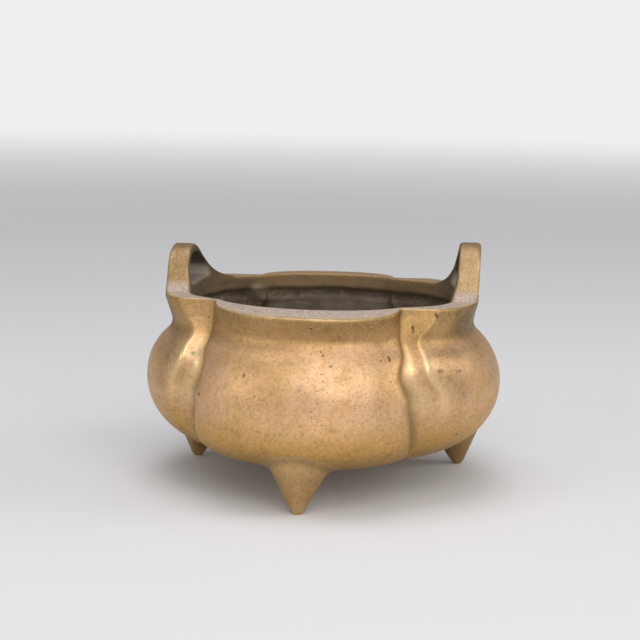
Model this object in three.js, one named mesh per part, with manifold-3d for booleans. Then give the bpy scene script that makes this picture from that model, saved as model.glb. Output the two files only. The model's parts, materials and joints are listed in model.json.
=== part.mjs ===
// Tripod incense burner: a four-lobed cast brass bowl that stands on three pointed feet,
// with a loop handle on the rim at each side.
// Millimetres, +Z up, the foot tips stand on z = 0 and the single front foot looks toward -Y.
// Azimuths are degrees from the front (-Y) toward the right-hand handle (+X).
import * as THREE from "three";
import { mergeVertices } from "three/addons/utils/BufferGeometryUtils.js";
import Module from "manifold-3d";

// Heights above the ground.
const rimHeight = 74.5;
const waistHeight = 61.5;
const bellyHeight = 41.0;
const undersideHeight = 15.0;

// Outside radii of the bowl, measured along the line through the two handles.
const rimRadius = 60.0;
const waistRadius = 58.0;
const bellyRadius = 69.5;
const undersideRadius = 41.5;

// How square the lower belly is: 2 is an ellipse, more is fuller.
const bellyFullness = 2.0;
const shoulderReach = 29.5;

// How far the hollow curve at the waist reaches up the neck and down the shoulder.
const waistHollow = 3.5;

// Metal thicknesses of the bowl.
const rimThickness = 9.4;
const rimBevel = 0.6;
const frontRimDroop = 2.1;
const collarDepth = 6.0;
const collarUndercut = 3.4;
const collarSlope = 5.0;
const innerBevel = 0.6;
const wallThickness = 4.8;
const floorThickness = 5.0;

// Share of its depth to which a groove shows on the inside of the collar.
const collarGrooveShare = 0.3;

// Lobes: where the grooves run at the rim and how far they drift below it, in degrees, and how far
// the lobes stand out or in, as shares of the radius.
const frontGrooveAzimuth = 41.1;
const backGrooveAzimuth = 32;
const lobeOffset = -4.2;
const grooveDriftAtWaist = -1.9;
const grooveDriftAtBelly = -2.8;
const grooveDriftAtUnderside = 3.9;
const groovePull = 3.0;
const fluteWidthAtRim = 11.2;
const fluteWidthAtWaist = 4.0;
const fluteWidthAtBelly = 10.8;
const lobeSwellAtRim = 0.032;
const lobeSwellAtWaist = 0.015;
const lobeSwellAtBelly = 0.0;
const grooveDepthAtRim = 0.148;
const grooveDepthAtWaist = 0.055;
const grooveDepthAtBelly = 0.086;
const arrisSwellAtRim = 0.03;
const arrisSwellAtWaist = 0.035;
const arrisSwellAtBelly = -0.045;
const cornerSwellAtRim = 0.048;
const cornerSwellAtWaist = 0.036;
const cornerSwellAtBelly = 0.012;
const lobePouch = 0.13;
const rearPouch = 0.09;
const rearPouchReach = 38;
const grooveFade = 4;
const lobeRollAtRim = 1.0;
const lobeRollAtBelly = 0.5;

// Feet: cones that splay outward, flared where they meet the bowl.
const frontFootInset = 10.6;
const rightFootInset = 8.0;
const leftFootInset = 10.2;
const frontFootAzimuth = -2.8;
const rightFootAzimuth = 119;
const leftFootAzimuth = -113.6;
const footTipWidth = 3.8;
const footHalfAngle = 29;
const footSplay = 10;
const footConeHeight = 14;
const footShankEase = 7;
const footFillet = 6;
const footFilletSpread = 4.3;
const footTenonRadius = 3.2;
const footTenonDepth = 3.0;
const footTenonInset = 6.0;

// Handles: arches that carry the wall of the rim upward, with a D-shaped eye.
const rightHandleRise = 20.6;
const leftHandleRise = 16.8;
const rightHandleLean = 0.3;
const leftHandleLean = 0.6;
const handleFrontReach = 16.5;
const handleFrontShoulder = 9.5;
const handleBackReach = 31.0;
const handleBackShoulder = 13.5;
const handleThickness = 8.4;
const handleFrontLeg = 5.0;
const handleBackLeg = 11.0;
const handleSillHeight = 2.0;
const handleBand = 3.6;
const handleCrown = 5.3;
const handleTenonRadius = 2.2;
const handleTenonDepth = 3.5;
const handleTenonInset = 5.5;

// Play left between two separately cast pieces.
const seatGap = 0.3;

// Mesh fineness.
const lobeColumns = 11;
const fluteColumns = 5;
const sideColumns = 8;
const quarterColumns = lobeColumns + fluteColumns + sideColumns;
const columns = 4 * quarterColumns;
const bellySteps = 11;
const shoulderSteps = 7;
const hollowSteps = 3;
const neckSteps = 3;
const roundSteps = 28;
const footSteps = 16;
const archSteps = 7;

const wasm = await Module();
wasm.setup();

const radians = (degrees) => (degrees * Math.PI) / 180;

/* Eases from 0 to 1 as t goes from 0 to 1. */
function ease(t) {
  const s = Math.min(1, Math.max(0, t));
  return s * s * (3 - 2 * s);
}

/* A value named at the rim, the waist and the belly, carried smoothly between them.
   It fades to nothing at the underside. */
function byHeight(z, atRim, atWaist, atBelly) {
  if (z >= waistHeight) {
    const t = (z - waistHeight) / (rimHeight - waistHeight);
    return atWaist + (atRim - atWaist) * ease(t);
  }
  if (z >= bellyHeight) {
    const t = (z - bellyHeight) / (waistHeight - bellyHeight);
    return atBelly + (atWaist - atBelly) * ease(t);
  }
  const t = Math.min(1, (bellyHeight - z) / (bellyHeight - undersideHeight));
  return atBelly * (1 - t ** grooveFade);
}

/* 0 at the fullest height and above it, 1 at the underside. */
function below(z) {
  return ease((bellyHeight - z) / (bellyHeight - undersideHeight));
}

/* Azimuth that a flute takes up at a height. */
function fluteWidth(z) {
  if (z < bellyHeight) return fluteWidthAtBelly;
  return byHeight(z, fluteWidthAtRim, fluteWidthAtWaist, fluteWidthAtBelly);
}

/* How far a groove wanders round the bowl at a height, away from its azimuth at the rim. Over
   the shoulder it is pulled toward the middle of the front or back lobe. */
function grooveDrift(z) {
  const upper = byHeight(Math.max(z, bellyHeight), 0, grooveDriftAtWaist, grooveDriftAtBelly);
  const lower = (grooveDriftAtUnderside - grooveDriftAtBelly) * below(z);
  const up = Math.min(1, Math.max(0, (z - bellyHeight) / (waistHeight - bellyHeight)));
  return upper + lower - groovePull * Math.sin(Math.PI * up) ** 2;
}

/* How roundly a lobe turns into its groove at a height: 1 rolls over softly, 0.5 turns sharply. */
function lobeRoll(z) {
  const up = ease((z - bellyHeight) / (rimHeight - bellyHeight));
  return lobeRollAtBelly + (lobeRollAtRim - lobeRollAtBelly) * up;
}

/* The plan of one quarter at one height. Column 0 is the middle of the front or back lobe,
   the last column is the middle of the side lobe. The groove is cut to a share of its depth.
   Gives the azimuth from the lobe's middle and the share by which the radius is scaled. */
function quarterPlan(column, groove, z, cut) {
  const swell = 1 + byHeight(z, lobeSwellAtRim, lobeSwellAtWaist, lobeSwellAtBelly);
  const depth = byHeight(z, grooveDepthAtRim, grooveDepthAtWaist, grooveDepthAtBelly);
  const bottom = swell - depth * cut;
  const arris = 1 + byHeight(z, arrisSwellAtRim, arrisSwellAtWaist, arrisSwellAtBelly);
  if (column <= lobeColumns) {
    const turn = Math.sin((column / lobeColumns) * (Math.PI / 2));
    const fall = (1 - turn ** 4) ** lobeRoll(z);
    const pouch = lobePouch * below(z) * (1 - turn ** 2);
    return [groove * turn, bottom + (swell - bottom) * fall + pouch];
  }
  if (column <= lobeColumns + fluteColumns) {
    const across = (column - lobeColumns) / fluteColumns;
    return [groove + fluteWidth(z) * across, bottom + (arris - bottom) * across ** 1.5];
  }
  const across = (column - lobeColumns - fluteColumns) / sideColumns;
  const start = groove + fluteWidth(z);
  const corner = byHeight(z, cornerSwellAtRim, cornerSwellAtWaist, cornerSwellAtBelly);
  const bulge = 6.75 * across * (1 - across) ** 2;
  return [start + (90 - start) * across, 1 + (arris - 1) * (1 - across) ** 2 + corner * bulge];
}

/* How much fuller the side lobes hang over the two rear feet. */
function pouchAbove(azimuth, z) {
  let fuller = 0;
  for (const foot of [rightFootAzimuth, leftFootAzimuth]) {
    const off = Math.min(1, Math.abs(azimuth - foot) / rearPouchReach);
    fuller += rearPouch * below(z) * Math.cos((off * Math.PI) / 2) ** 2;
  }
  return fuller;
}

/* The plan at any column of the whole ring. Gives the azimuth from the front in degrees
   and the share by which the radius is scaled. */
function plan(column, z, cut = 1) {
  const turn = column % columns;
  const half = 2 * quarterColumns;
  const mirrored = turn > half;
  const along = mirrored ? columns - turn : turn;
  const back = along > quarterColumns;
  const middle = mirrored ? -lobeOffset : lobeOffset;
  const groove = middle + (back ? backGrooveAzimuth : frontGrooveAzimuth) + grooveDrift(z);
  const [angle, share] = quarterPlan(back ? half - along : along, groove, z, cut);
  const turned = back ? 180 - angle : angle;
  const azimuth = mirrored ? -turned : turned;
  return [azimuth, share + pouchAbove(azimuth, z)];
}

/* How far the worn front lobe of the rim slopes down toward its outer edge. */
function droop(column, r, z) {
  const turn = column % columns;
  const along = Math.min(turn, columns - turn);
  if (along >= lobeColumns || z <= waistHeight) return 0;
  const middle = 1 - Math.sin((along / lobeColumns) * (Math.PI / 2)) ** 4;
  const outward = ease((r - rimRadius + rimThickness) / rimThickness);
  const upward = ease((z - waistHeight) / (rimHeight - waistHeight));
  return frontRimDroop * middle * outward * upward;
}

/* Turns a round profile of [radius, height] points into a closed ring that follows the lobes.
   A third number of a point is the share of its depth to which the grooves are cut there. */
function lobedLathe(profile) {
  const points = profile.map(([r, z]) => new THREE.Vector2(r, z));
  const geometry = new THREE.LatheGeometry(points, columns);
  geometry.rotateX(Math.PI / 2);
  const position = geometry.getAttribute("position");
  for (let i = 0; i < position.count; i += 1) {
    const [r, z, cut] = profile[i % profile.length];
    const column = Math.floor(i / profile.length);
    const [azimuth, share] = plan(column, z, cut);
    const angle = radians(azimuth);
    const height = z - droop(column, r, z);
    position.setXYZ(i, r * share * Math.sin(angle), -r * share * Math.cos(angle), height);
  }
  return toSolid(geometry);
}

/* Makes a manifold solid of a three.js geometry. */
function toSolid(geometry) {
  geometry.deleteAttribute("normal");
  geometry.deleteAttribute("uv");
  const merged = mergeVertices(geometry, 1e-5);
  const index = merged.getIndex().array;
  const triangles = [];
  for (let i = 0; i < index.length; i += 3) {
    const [a, b, c] = [index[i], index[i + 1], index[i + 2]];
    if (a !== b && b !== c && c !== a) triangles.push(a, b, c);
  }
  const mesh = new wasm.Mesh({
    numProp: 3,
    vertProperties: new Float32Array(merged.getAttribute("position").array),
    triVerts: new Uint32Array(triangles),
  });
  return new wasm.Manifold(mesh);
}

/* Makes a named three.js mesh of a manifold solid. */
function toMesh(solid, name, material) {
  const { numProp, vertProperties, triVerts } = solid.getMesh();
  const positions = new Float32Array((vertProperties.length / numProp) * 3);
  for (let i = 0; i < positions.length / 3; i += 1) {
    positions.set(vertProperties.subarray(i * numProp, i * numProp + 3), i * 3);
  }
  const geometry = new THREE.BufferGeometry();
  geometry.setAttribute("position", new THREE.BufferAttribute(positions, 3));
  geometry.setIndex(new THREE.BufferAttribute(new Uint32Array(triVerts), 1));
  geometry.computeVertexNormals();
  const mesh = new THREE.Mesh(geometry, material);
  mesh.name = name;
  return mesh;
}

/* Lower belly, from the flat underside out to the fullest point. */
function bellyArc(flat, low, full, steps) {
  const points = [];
  for (let i = 0; i <= steps; i += 1) {
    const angle = (i / steps) * (Math.PI / 2);
    const out = Math.sin(angle) ** (2 / bellyFullness);
    const down = Math.cos(angle) ** (2 / bellyFullness);
    points.push([flat + (full - flat) * out, bellyHeight - (bellyHeight - low) * down]);
  }
  return points;
}

/* Shoulder, from just above the fullest point up toward a radius at a height. It may end lower. */
function shoulderArc(full, top, radiusAtTop, steps, end = top) {
  const centre = full - shoulderReach;
  const whole = Math.sin(Math.acos((radiusAtTop - centre) / shoulderReach));
  const last = Math.asin((whole * (end - bellyHeight)) / (top - bellyHeight));
  const points = [];
  for (let i = 1; i <= steps; i += 1) {
    const angle = (i / steps) * last;
    const rise = Math.sin(angle) / whole;
    points.push([centre + shoulderReach * Math.cos(angle), bellyHeight + (top - bellyHeight) * rise]);
  }
  return points;
}

/* Radius of the neck at a height between the waist and the lip: it flares toward the rim. */
function neckRadius(z) {
  const t = (z - waistHeight) / (rimHeight - rimBevel - waistHeight);
  return waistRadius + (rimRadius - waistRadius) * t ** 1.4;
}

/* Outside of the bowl from the axis of the underside to the lip, grown by a clearance. A hollow
   curve leads from the shoulder into the neck. */
function outerProfile(grow) {
  const low = undersideHeight - grow;
  const full = bellyRadius + grow;
  const waist = waistRadius + grow;
  const above = waistHeight + waistHollow;
  const shoulder = shoulderArc(full, waistHeight, waist, shoulderSteps, waistHeight - waistHollow);
  const points = [[0, low], ...bellyArc(undersideRadius, low, full, bellySteps), ...shoulder];
  const hollow = new THREE.QuadraticBezierCurve(
    new THREE.Vector2(...shoulder[shoulder.length - 1]),
    new THREE.Vector2(waist, waistHeight),
    new THREE.Vector2(neckRadius(above) + grow, above),
  );
  for (const point of hollow.getPoints(hollowSteps).slice(1)) points.push([point.x, point.y]);
  for (let i = 1; i <= neckSteps; i += 1) {
    const z = above + ((rimHeight - rimBevel - above) * i) / neckSteps;
    points.push([neckRadius(z) + grow, z]);
  }
  return points;
}

/* Inside of the bowl: down the collar, out below it to the shoulder and round to the floor. The
   collar hardly follows the grooves, so they nearly cut through the rim. */
function innerProfile() {
  const collarRadius = rimRadius - rimThickness;
  const collarFoot = rimHeight - collarDepth;
  const throat = collarRadius + collarUndercut;
  const full = bellyRadius - wallThickness;
  const floor = undersideHeight + floorThickness;
  const flat = undersideRadius - wallThickness;
  const inside = [
    [collarRadius + innerBevel, rimHeight],
    [collarRadius, rimHeight - innerBevel],
    [collarRadius, collarFoot],
    ...shoulderArc(full, collarFoot - collarSlope, throat, shoulderSteps).reverse(),
    ...bellyArc(flat, floor, full, bellySteps).reverse(),
    [0, floor],
  ];
  const cut = (z) => 1 - (1 - collarGrooveShare) * ease((z - waistHeight) / (collarFoot - waistHeight));
  return [[rimRadius - rimBevel, rimHeight], ...inside.map(([r, z]) => [r, z, cut(z)])];
}

/* An upright round pin that starts at a height, standing at a distance out from the axis. */
function pin(radius, length, out, height) {
  const geometry = new THREE.CylinderGeometry(radius, radius, length, roundSteps);
  geometry.translate(0, length / 2, 0);
  geometry.rotateX(Math.PI / 2);
  geometry.translate(0, -out, height);
  return toSolid(geometry);
}

/* Radius of a foot's cone at a height: straight from the tip, then drawing in again inside
   the bowl. */
function coneRadius(z) {
  const slope = Math.tan(radians(footHalfAngle));
  const over = Math.max(z - footConeHeight, 0);
  return footTipWidth / 2 + slope * (z - (over * over) / (2 * footShankEase));
}

/* Height of the bowl's underside at a radius, for a lobe that stands out by a share. */
function undersideAt(radius, share) {
  const out = (radius / share - undersideRadius) / (bellyRadius - undersideRadius);
  const down = (1 - Math.min(1, Math.max(0, out)) ** bellyFullness) ** (1 / bellyFullness);
  return bellyHeight - (bellyHeight - undersideHeight) * down;
}

/* The cone of one foot before the bowl is cut out of it, standing at the front. A fillet
   spreads it toward the underside of the bowl, whose height differs from side to side. */
function footCone(radius, share) {
  const top = footConeHeight + 2.3 * footShankEase;
  const profile = [new THREE.Vector2(0, 0)];
  for (let i = 0; i <= footSteps; i += 1) {
    const z = (top * i) / footSteps;
    profile.push(new THREE.Vector2(coneRadius(z), z));
  }
  profile.push(new THREE.Vector2(0, top));
  const geometry = new THREE.LatheGeometry(profile, roundSteps);
  geometry.rotateX(Math.PI / 2);
  const position = geometry.getAttribute("position");
  for (let i = 0; i < position.count; i += 1) {
    const [x, y, z] = [position.getX(i), position.getY(i), position.getZ(i)];
    const reach = Math.max(Math.hypot(x, y), footTipWidth / 2);
    const seat = undersideAt(radius - (y / reach) * coneRadius(footConeHeight), share);
    const up = Math.min(1, Math.max(0, (z - seat) / footFillet + 1));
    const inward = 1 - Math.max(0, -y / reach);
    const spread = 1 + (footFilletSpread * up * up * inward) / reach;
    const lean = z * Math.tan(radians(footSplay));
    position.setXYZ(i, x * spread, y * spread - radius + lean, z);
  }
  return toSolid(geometry);
}

/* The tenon of a foot that stands at the front, or with play its socket. */
function footTenon(radius, share, play) {
  const out = radius - footTenonInset;
  const seat = undersideAt(out, share);
  const root = 2 * footTenonRadius - footTenonDepth / 2;
  return pin(footTenonRadius + play, root + footTenonDepth + play, out, seat - root);
}

/* One foot: the cone less the bowl it stands under, with a tenon for the bowl's socket. */
function foot({ radius, azimuth, share }, blank) {
  const cone = footCone(radius, share).rotate([0, 0, azimuth]).subtract(blank);
  return largestPiece(cone).add(footTenon(radius, share, 0).rotate([0, 0, azimuth]));
}

/* The biggest of the separate pieces a cut has left. */
function largestPiece(solid) {
  const pieces = solid.decompose();
  return pieces.reduce((best, piece) => (piece.volume() > best.volume() ? piece : best));
}

/* One flank of an arch, from its toe on the rim over the shoulder to the crown. */
function flank(side, reach, shoulder, rise) {
  const spread = reach - shoulder;
  const height = rise - handleCrown;
  const path = new THREE.Path();
  path.moveTo(side * reach, 0);
  path.bezierCurveTo(
    side * (reach - 0.3 * spread), 0.15 * height,
    side * (shoulder + 0.37 * spread), 0.73 * height,
    side * shoulder, height,
  );
  path.bezierCurveTo(
    side * 0.83 * shoulder, height + 0.43 * handleCrown,
    side * 0.5 * shoulder, rise,
    0, rise,
  );
  return path.getPoints(archSteps);
}

/* The D-shaped eye of a handle, flat at the bottom. */
function eyePath(front, back, top) {
  const sill = handleSillHeight;
  const spring = sill + 0.75 * (top - sill);
  const eye = new THREE.Path();
  eye.moveTo(-front, sill);
  eye.lineTo(back, sill);
  eye.bezierCurveTo(back, spring, 0.6 * back, top, 0, top);
  eye.bezierCurveTo(-0.6 * front, top, -front, spring, -front, sill);
  return eye;
}

/* Outline of an arch seen along X, front toward -Y, with its eye as a hole. */
function archShape(rise) {
  const back = flank(1, handleBackReach, handleBackShoulder, rise);
  const front = flank(-1, handleFrontReach, handleFrontShoulder, rise);
  const shape = new THREE.Shape([...back, ...front.reverse().slice(1)]);
  const frontEye = handleFrontReach - handleFrontLeg;
  const backEye = handleBackReach - handleBackLeg;
  shape.holes.push(eyePath(frontEye, backEye, rise - handleBand));
  return shape;
}

/* A handle on the right-hand side: a ring on the rim's plan carried upward, cut to the arch
   and leaned outward, on two tenons. */
function handle(rise, lean) {
  const seat = rimHeight + seatGap;
  const top = seat + rise + handleBand;
  const inner = rimRadius - handleThickness;
  const corners = [[inner, seat], [rimRadius, seat], [rimRadius, top], [inner, top]];
  const ring = lobedLathe([...corners, corners[0]]);
  const arch = new THREE.ExtrudeGeometry(archShape(rise), {
    depth: rimRadius,
    bevelEnabled: false,
    curveSegments: archSteps,
  });
  arch.rotateX(Math.PI / 2);
  arch.rotateZ(Math.PI / 2);
  arch.translate(rimRadius / 2, 0, seat);
  const slope = lean / rise;
  const shear = [1, 0, 0, 0, 0, 1, 0, 0, slope, 0, 1, 0, -slope * seat, 0, 0, 1];
  const body = ring.intersect(toSolid(arch)).transform(shear);
  return handleTenons(0).reduce((joined, tenon) => joined.add(tenon), body);
}

/* The two tenons under the right-hand handle, or with play their sockets. They reach up into
   the handle as far as its sill. */
function handleTenons(play) {
  const ring = rimRadius - handleThickness / 2;
  const foot = rimHeight - handleTenonDepth - play;
  const length = rimHeight + handleSillHeight - foot;
  return [handleTenonInset - handleFrontReach, handleBackReach - handleTenonInset].map((across) => {
    const share = plan(handleColumn(across), rimHeight)[1];
    const out = Math.sqrt((ring * share) ** 2 - across ** 2);
    return pin(handleTenonRadius + play, length, 0, foot).translate([out, across, 0]);
  });
}

/* The column of the ring that lies nearest to a distance behind the middle of the right handle. */
function handleColumn(across) {
  const azimuth = 90 + (Math.asin(across / rimRadius) * 180) / Math.PI;
  let nearest = 0;
  for (let column = 0; column <= 2 * quarterColumns; column += 1) {
    const off = Math.abs(plan(column, rimHeight)[0] - azimuth);
    if (off < Math.abs(plan(nearest, rimHeight)[0] - azimuth)) nearest = column;
  }
  return nearest;
}

/* The bowl with sockets for every tenon. */
function bowl() {
  let body = lobedLathe([...outerProfile(0), ...innerProfile()]);
  for (const { radius, azimuth, share } of Object.values(feet)) {
    body = body.subtract(footTenon(radius, share, seatGap).rotate([0, 0, azimuth]));
  }
  for (const socket of handleTenons(seatGap)) {
    body = body.subtract(socket).subtract(socket.mirror([1, 0, 0]));
  }
  return body;
}

const feet = {
  front_foot: { radius: bellyRadius - frontFootInset, azimuth: frontFootAzimuth, share: 1 + lobePouch },
  right_rear_foot: { radius: bellyRadius - rightFootInset, azimuth: rightFootAzimuth, share: 1 + rearPouch },
  left_rear_foot: { radius: bellyRadius - leftFootInset, azimuth: leftFootAzimuth, share: 1 + rearPouch },
};

const brass = () => new THREE.MeshStandardMaterial({ color: 0xb08d57, roughness: 0.45, metalness: 0.9 });
const blank = lobedLathe([...outerProfile(seatGap), [0, rimHeight - rimBevel]]);

const group = new THREE.Group();
group.name = "tripod_incense_burner";
group.add(toMesh(bowl(), "bowl", brass()));
for (const [name, place] of Object.entries(feet)) {
  group.add(toMesh(foot(place, blank), name, brass()));
}
group.add(toMesh(handle(rightHandleRise, rightHandleLean), "right_handle", brass()));
const left = handle(leftHandleRise, leftHandleLean).mirror([1, 0, 0]);
group.add(toMesh(left, "left_handle", brass()));
export default group;
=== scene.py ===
"""Looks of a tripod incense burner: a four-lobed cast brass bowl on pointed feet, with two loop handles.

The frame is the solid model's: +Z up, the foot tips on z = 0 and the front foot toward -Y. Shapes are worked
out in millimetres and become metres with their mesh. Azimuths are degrees from -Y toward the right-hand
handle (+X). Heights, radii and places in the docstrings below are in millimetres.
"""
import json
import logging
import math
from dataclasses import dataclass
from enum import Enum
from typing import Dict, List, Optional, Sequence, Tuple, Union

import bpy
import numpy as np
from mathutils import Euler, Matrix, Vector

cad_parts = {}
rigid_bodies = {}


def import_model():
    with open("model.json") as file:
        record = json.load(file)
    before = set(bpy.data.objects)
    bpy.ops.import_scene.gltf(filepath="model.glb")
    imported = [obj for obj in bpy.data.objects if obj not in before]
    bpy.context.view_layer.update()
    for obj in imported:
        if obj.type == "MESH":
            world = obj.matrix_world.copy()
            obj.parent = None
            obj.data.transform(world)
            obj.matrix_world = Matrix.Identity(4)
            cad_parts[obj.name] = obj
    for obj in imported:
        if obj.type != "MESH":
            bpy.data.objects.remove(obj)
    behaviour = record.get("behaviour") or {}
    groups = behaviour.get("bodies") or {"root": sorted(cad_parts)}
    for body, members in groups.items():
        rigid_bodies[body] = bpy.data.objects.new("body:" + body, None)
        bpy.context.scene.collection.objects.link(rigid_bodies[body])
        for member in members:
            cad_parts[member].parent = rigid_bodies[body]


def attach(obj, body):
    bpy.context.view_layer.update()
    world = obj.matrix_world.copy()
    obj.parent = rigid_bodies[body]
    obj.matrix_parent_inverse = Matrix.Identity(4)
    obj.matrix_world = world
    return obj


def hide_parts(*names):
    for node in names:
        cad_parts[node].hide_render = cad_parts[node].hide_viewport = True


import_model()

Array = np.ndarray
Socket = bpy.types.NodeSocket
Point = Tuple[float, float, float]
Point2 = Tuple[float, float]
Colour = Tuple[float, float, float]
Band = Tuple[float, float, float, float]
Feed = Union[Socket, float, Point]

LOG = logging.getLogger("incense_burner")
MILLIMETRE = 0.001
QUARTER_TURN = math.pi / 2
CUBIC_PEAK = 27 / 4  # one over the highest value of t times the square of one less t


def held(t: Array) -> Array:
    """Numbers held between 0 and 1."""
    return np.clip(t, 0.0, 1.0)


def ease(t: Array) -> Array:
    """Carries 0 to 1 smoothly: three times the square less twice the cube, held at 0 and 1 outside."""
    s = held(t)
    return s * s * (3.0 - 2.0 * s)


def ramp(value: Array, start: float, end: float) -> Array:
    """An eased climb from 0 where a value is at its start to 1 at its end, which may be the lower one."""
    return ease((value - start) / (end - start))


def band(value: Array, start: float, full: float, wane: float, end: float) -> Array:
    """1 over a band of values: an eased climb until it is full, times an eased fall after it wanes."""
    return ramp(value, start, full) * ramp(value, end, wane)


def bell(offset: Array, width: float) -> Array:
    """A bell curve: e to the power of less the square of the offset over the width."""
    return np.exp(-(offset / width) ** 2)


def together(*parts: Union[Array, float]) -> Array:
    """Coordinates joined on a new last axis."""
    return np.stack(np.broadcast_arrays(*parts), axis=-1)


def straight(a: Array, b: Array, steps: int) -> Array:
    """Evenly set points of the line from a to b, without a itself."""
    return a + (b - a) * np.linspace(0.0, 1.0, steps)[1:, None]


def unit(vectors: Array) -> Array:
    """Vectors over their length."""
    return vectors / np.linalg.norm(vectors, axis=-1, keepdims=True)


def square_to(vectors: Array, normal: Array) -> Array:
    """Vectors less their part along a unit normal."""
    return vectors - normal * np.sum(vectors * normal, axis=-1, keepdims=True)


def radial(points: Array, rise: float) -> Array:
    """Vectors from the bowl's axis outward, one long beyond the first millimetre, all with the same rise.

    Args:
        points: places.
        rise: upward part of each vector.

    Returns:
        The vectors.
    """
    outward = points / np.maximum(np.hypot(points[..., 0], points[..., 1]), 1.0)[..., None]
    outward[..., 2] = rise
    return outward


def bezier(a: Array, b: Array, c: Array, d: Array, t: Array) -> Array:
    """Points of a cubic curve: its four control points weighted by the Bernstein shares of t."""
    s = 1.0 - t
    return a * s**3 + b * 3 * s * s * t + c * 3 * s * t * t + d * t**3


def value_noise(points: Array, grain: float, seed: int) -> Array:
    """Smooth noise: a scrambled number at each corner of a cubic lattice, eased together along each axis.

    Args:
        points: places in millimetres, coordinates on the last axis.
        grain: size of a lattice cell in millimetres.
        seed: picks one noise among many.

    Returns:
        Numbers between -1 and 1, one for each place.
    """
    cell = points / grain
    low = np.floor(cell).astype(np.int64)
    part = ease(cell - low)
    total = np.zeros(points.shape[:-1])
    for corner in np.ndindex(2, 2, 2):
        at = low + np.array(corner)
        share = np.prod(np.where(np.array(corner) == 1, part, 1.0 - part), axis=-1)
        key = (at[..., 0] * 73856093) ^ (at[..., 1] * 19349663) ^ (at[..., 2] * 83492791) ^ (seed * 7919)
        key = ((key & 0xFFFFFF) * 1103515245 + 12345) & 0x7FFFFFFF
        total = total + share * ((key >> 7) / float(1 << 23) - 1.0)
    return total


def speckle(points: Array, grain: float, seed: int) -> Array:
    """Smooth noise between 0 and 1."""
    return value_noise(points, grain, seed) * 0.5 + 0.5


@dataclass(frozen=True)
class Level:
    """A number named at the rim, the waist and the belly, which fades away toward the underside."""

    rim: float
    waist: float
    belly: float


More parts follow.
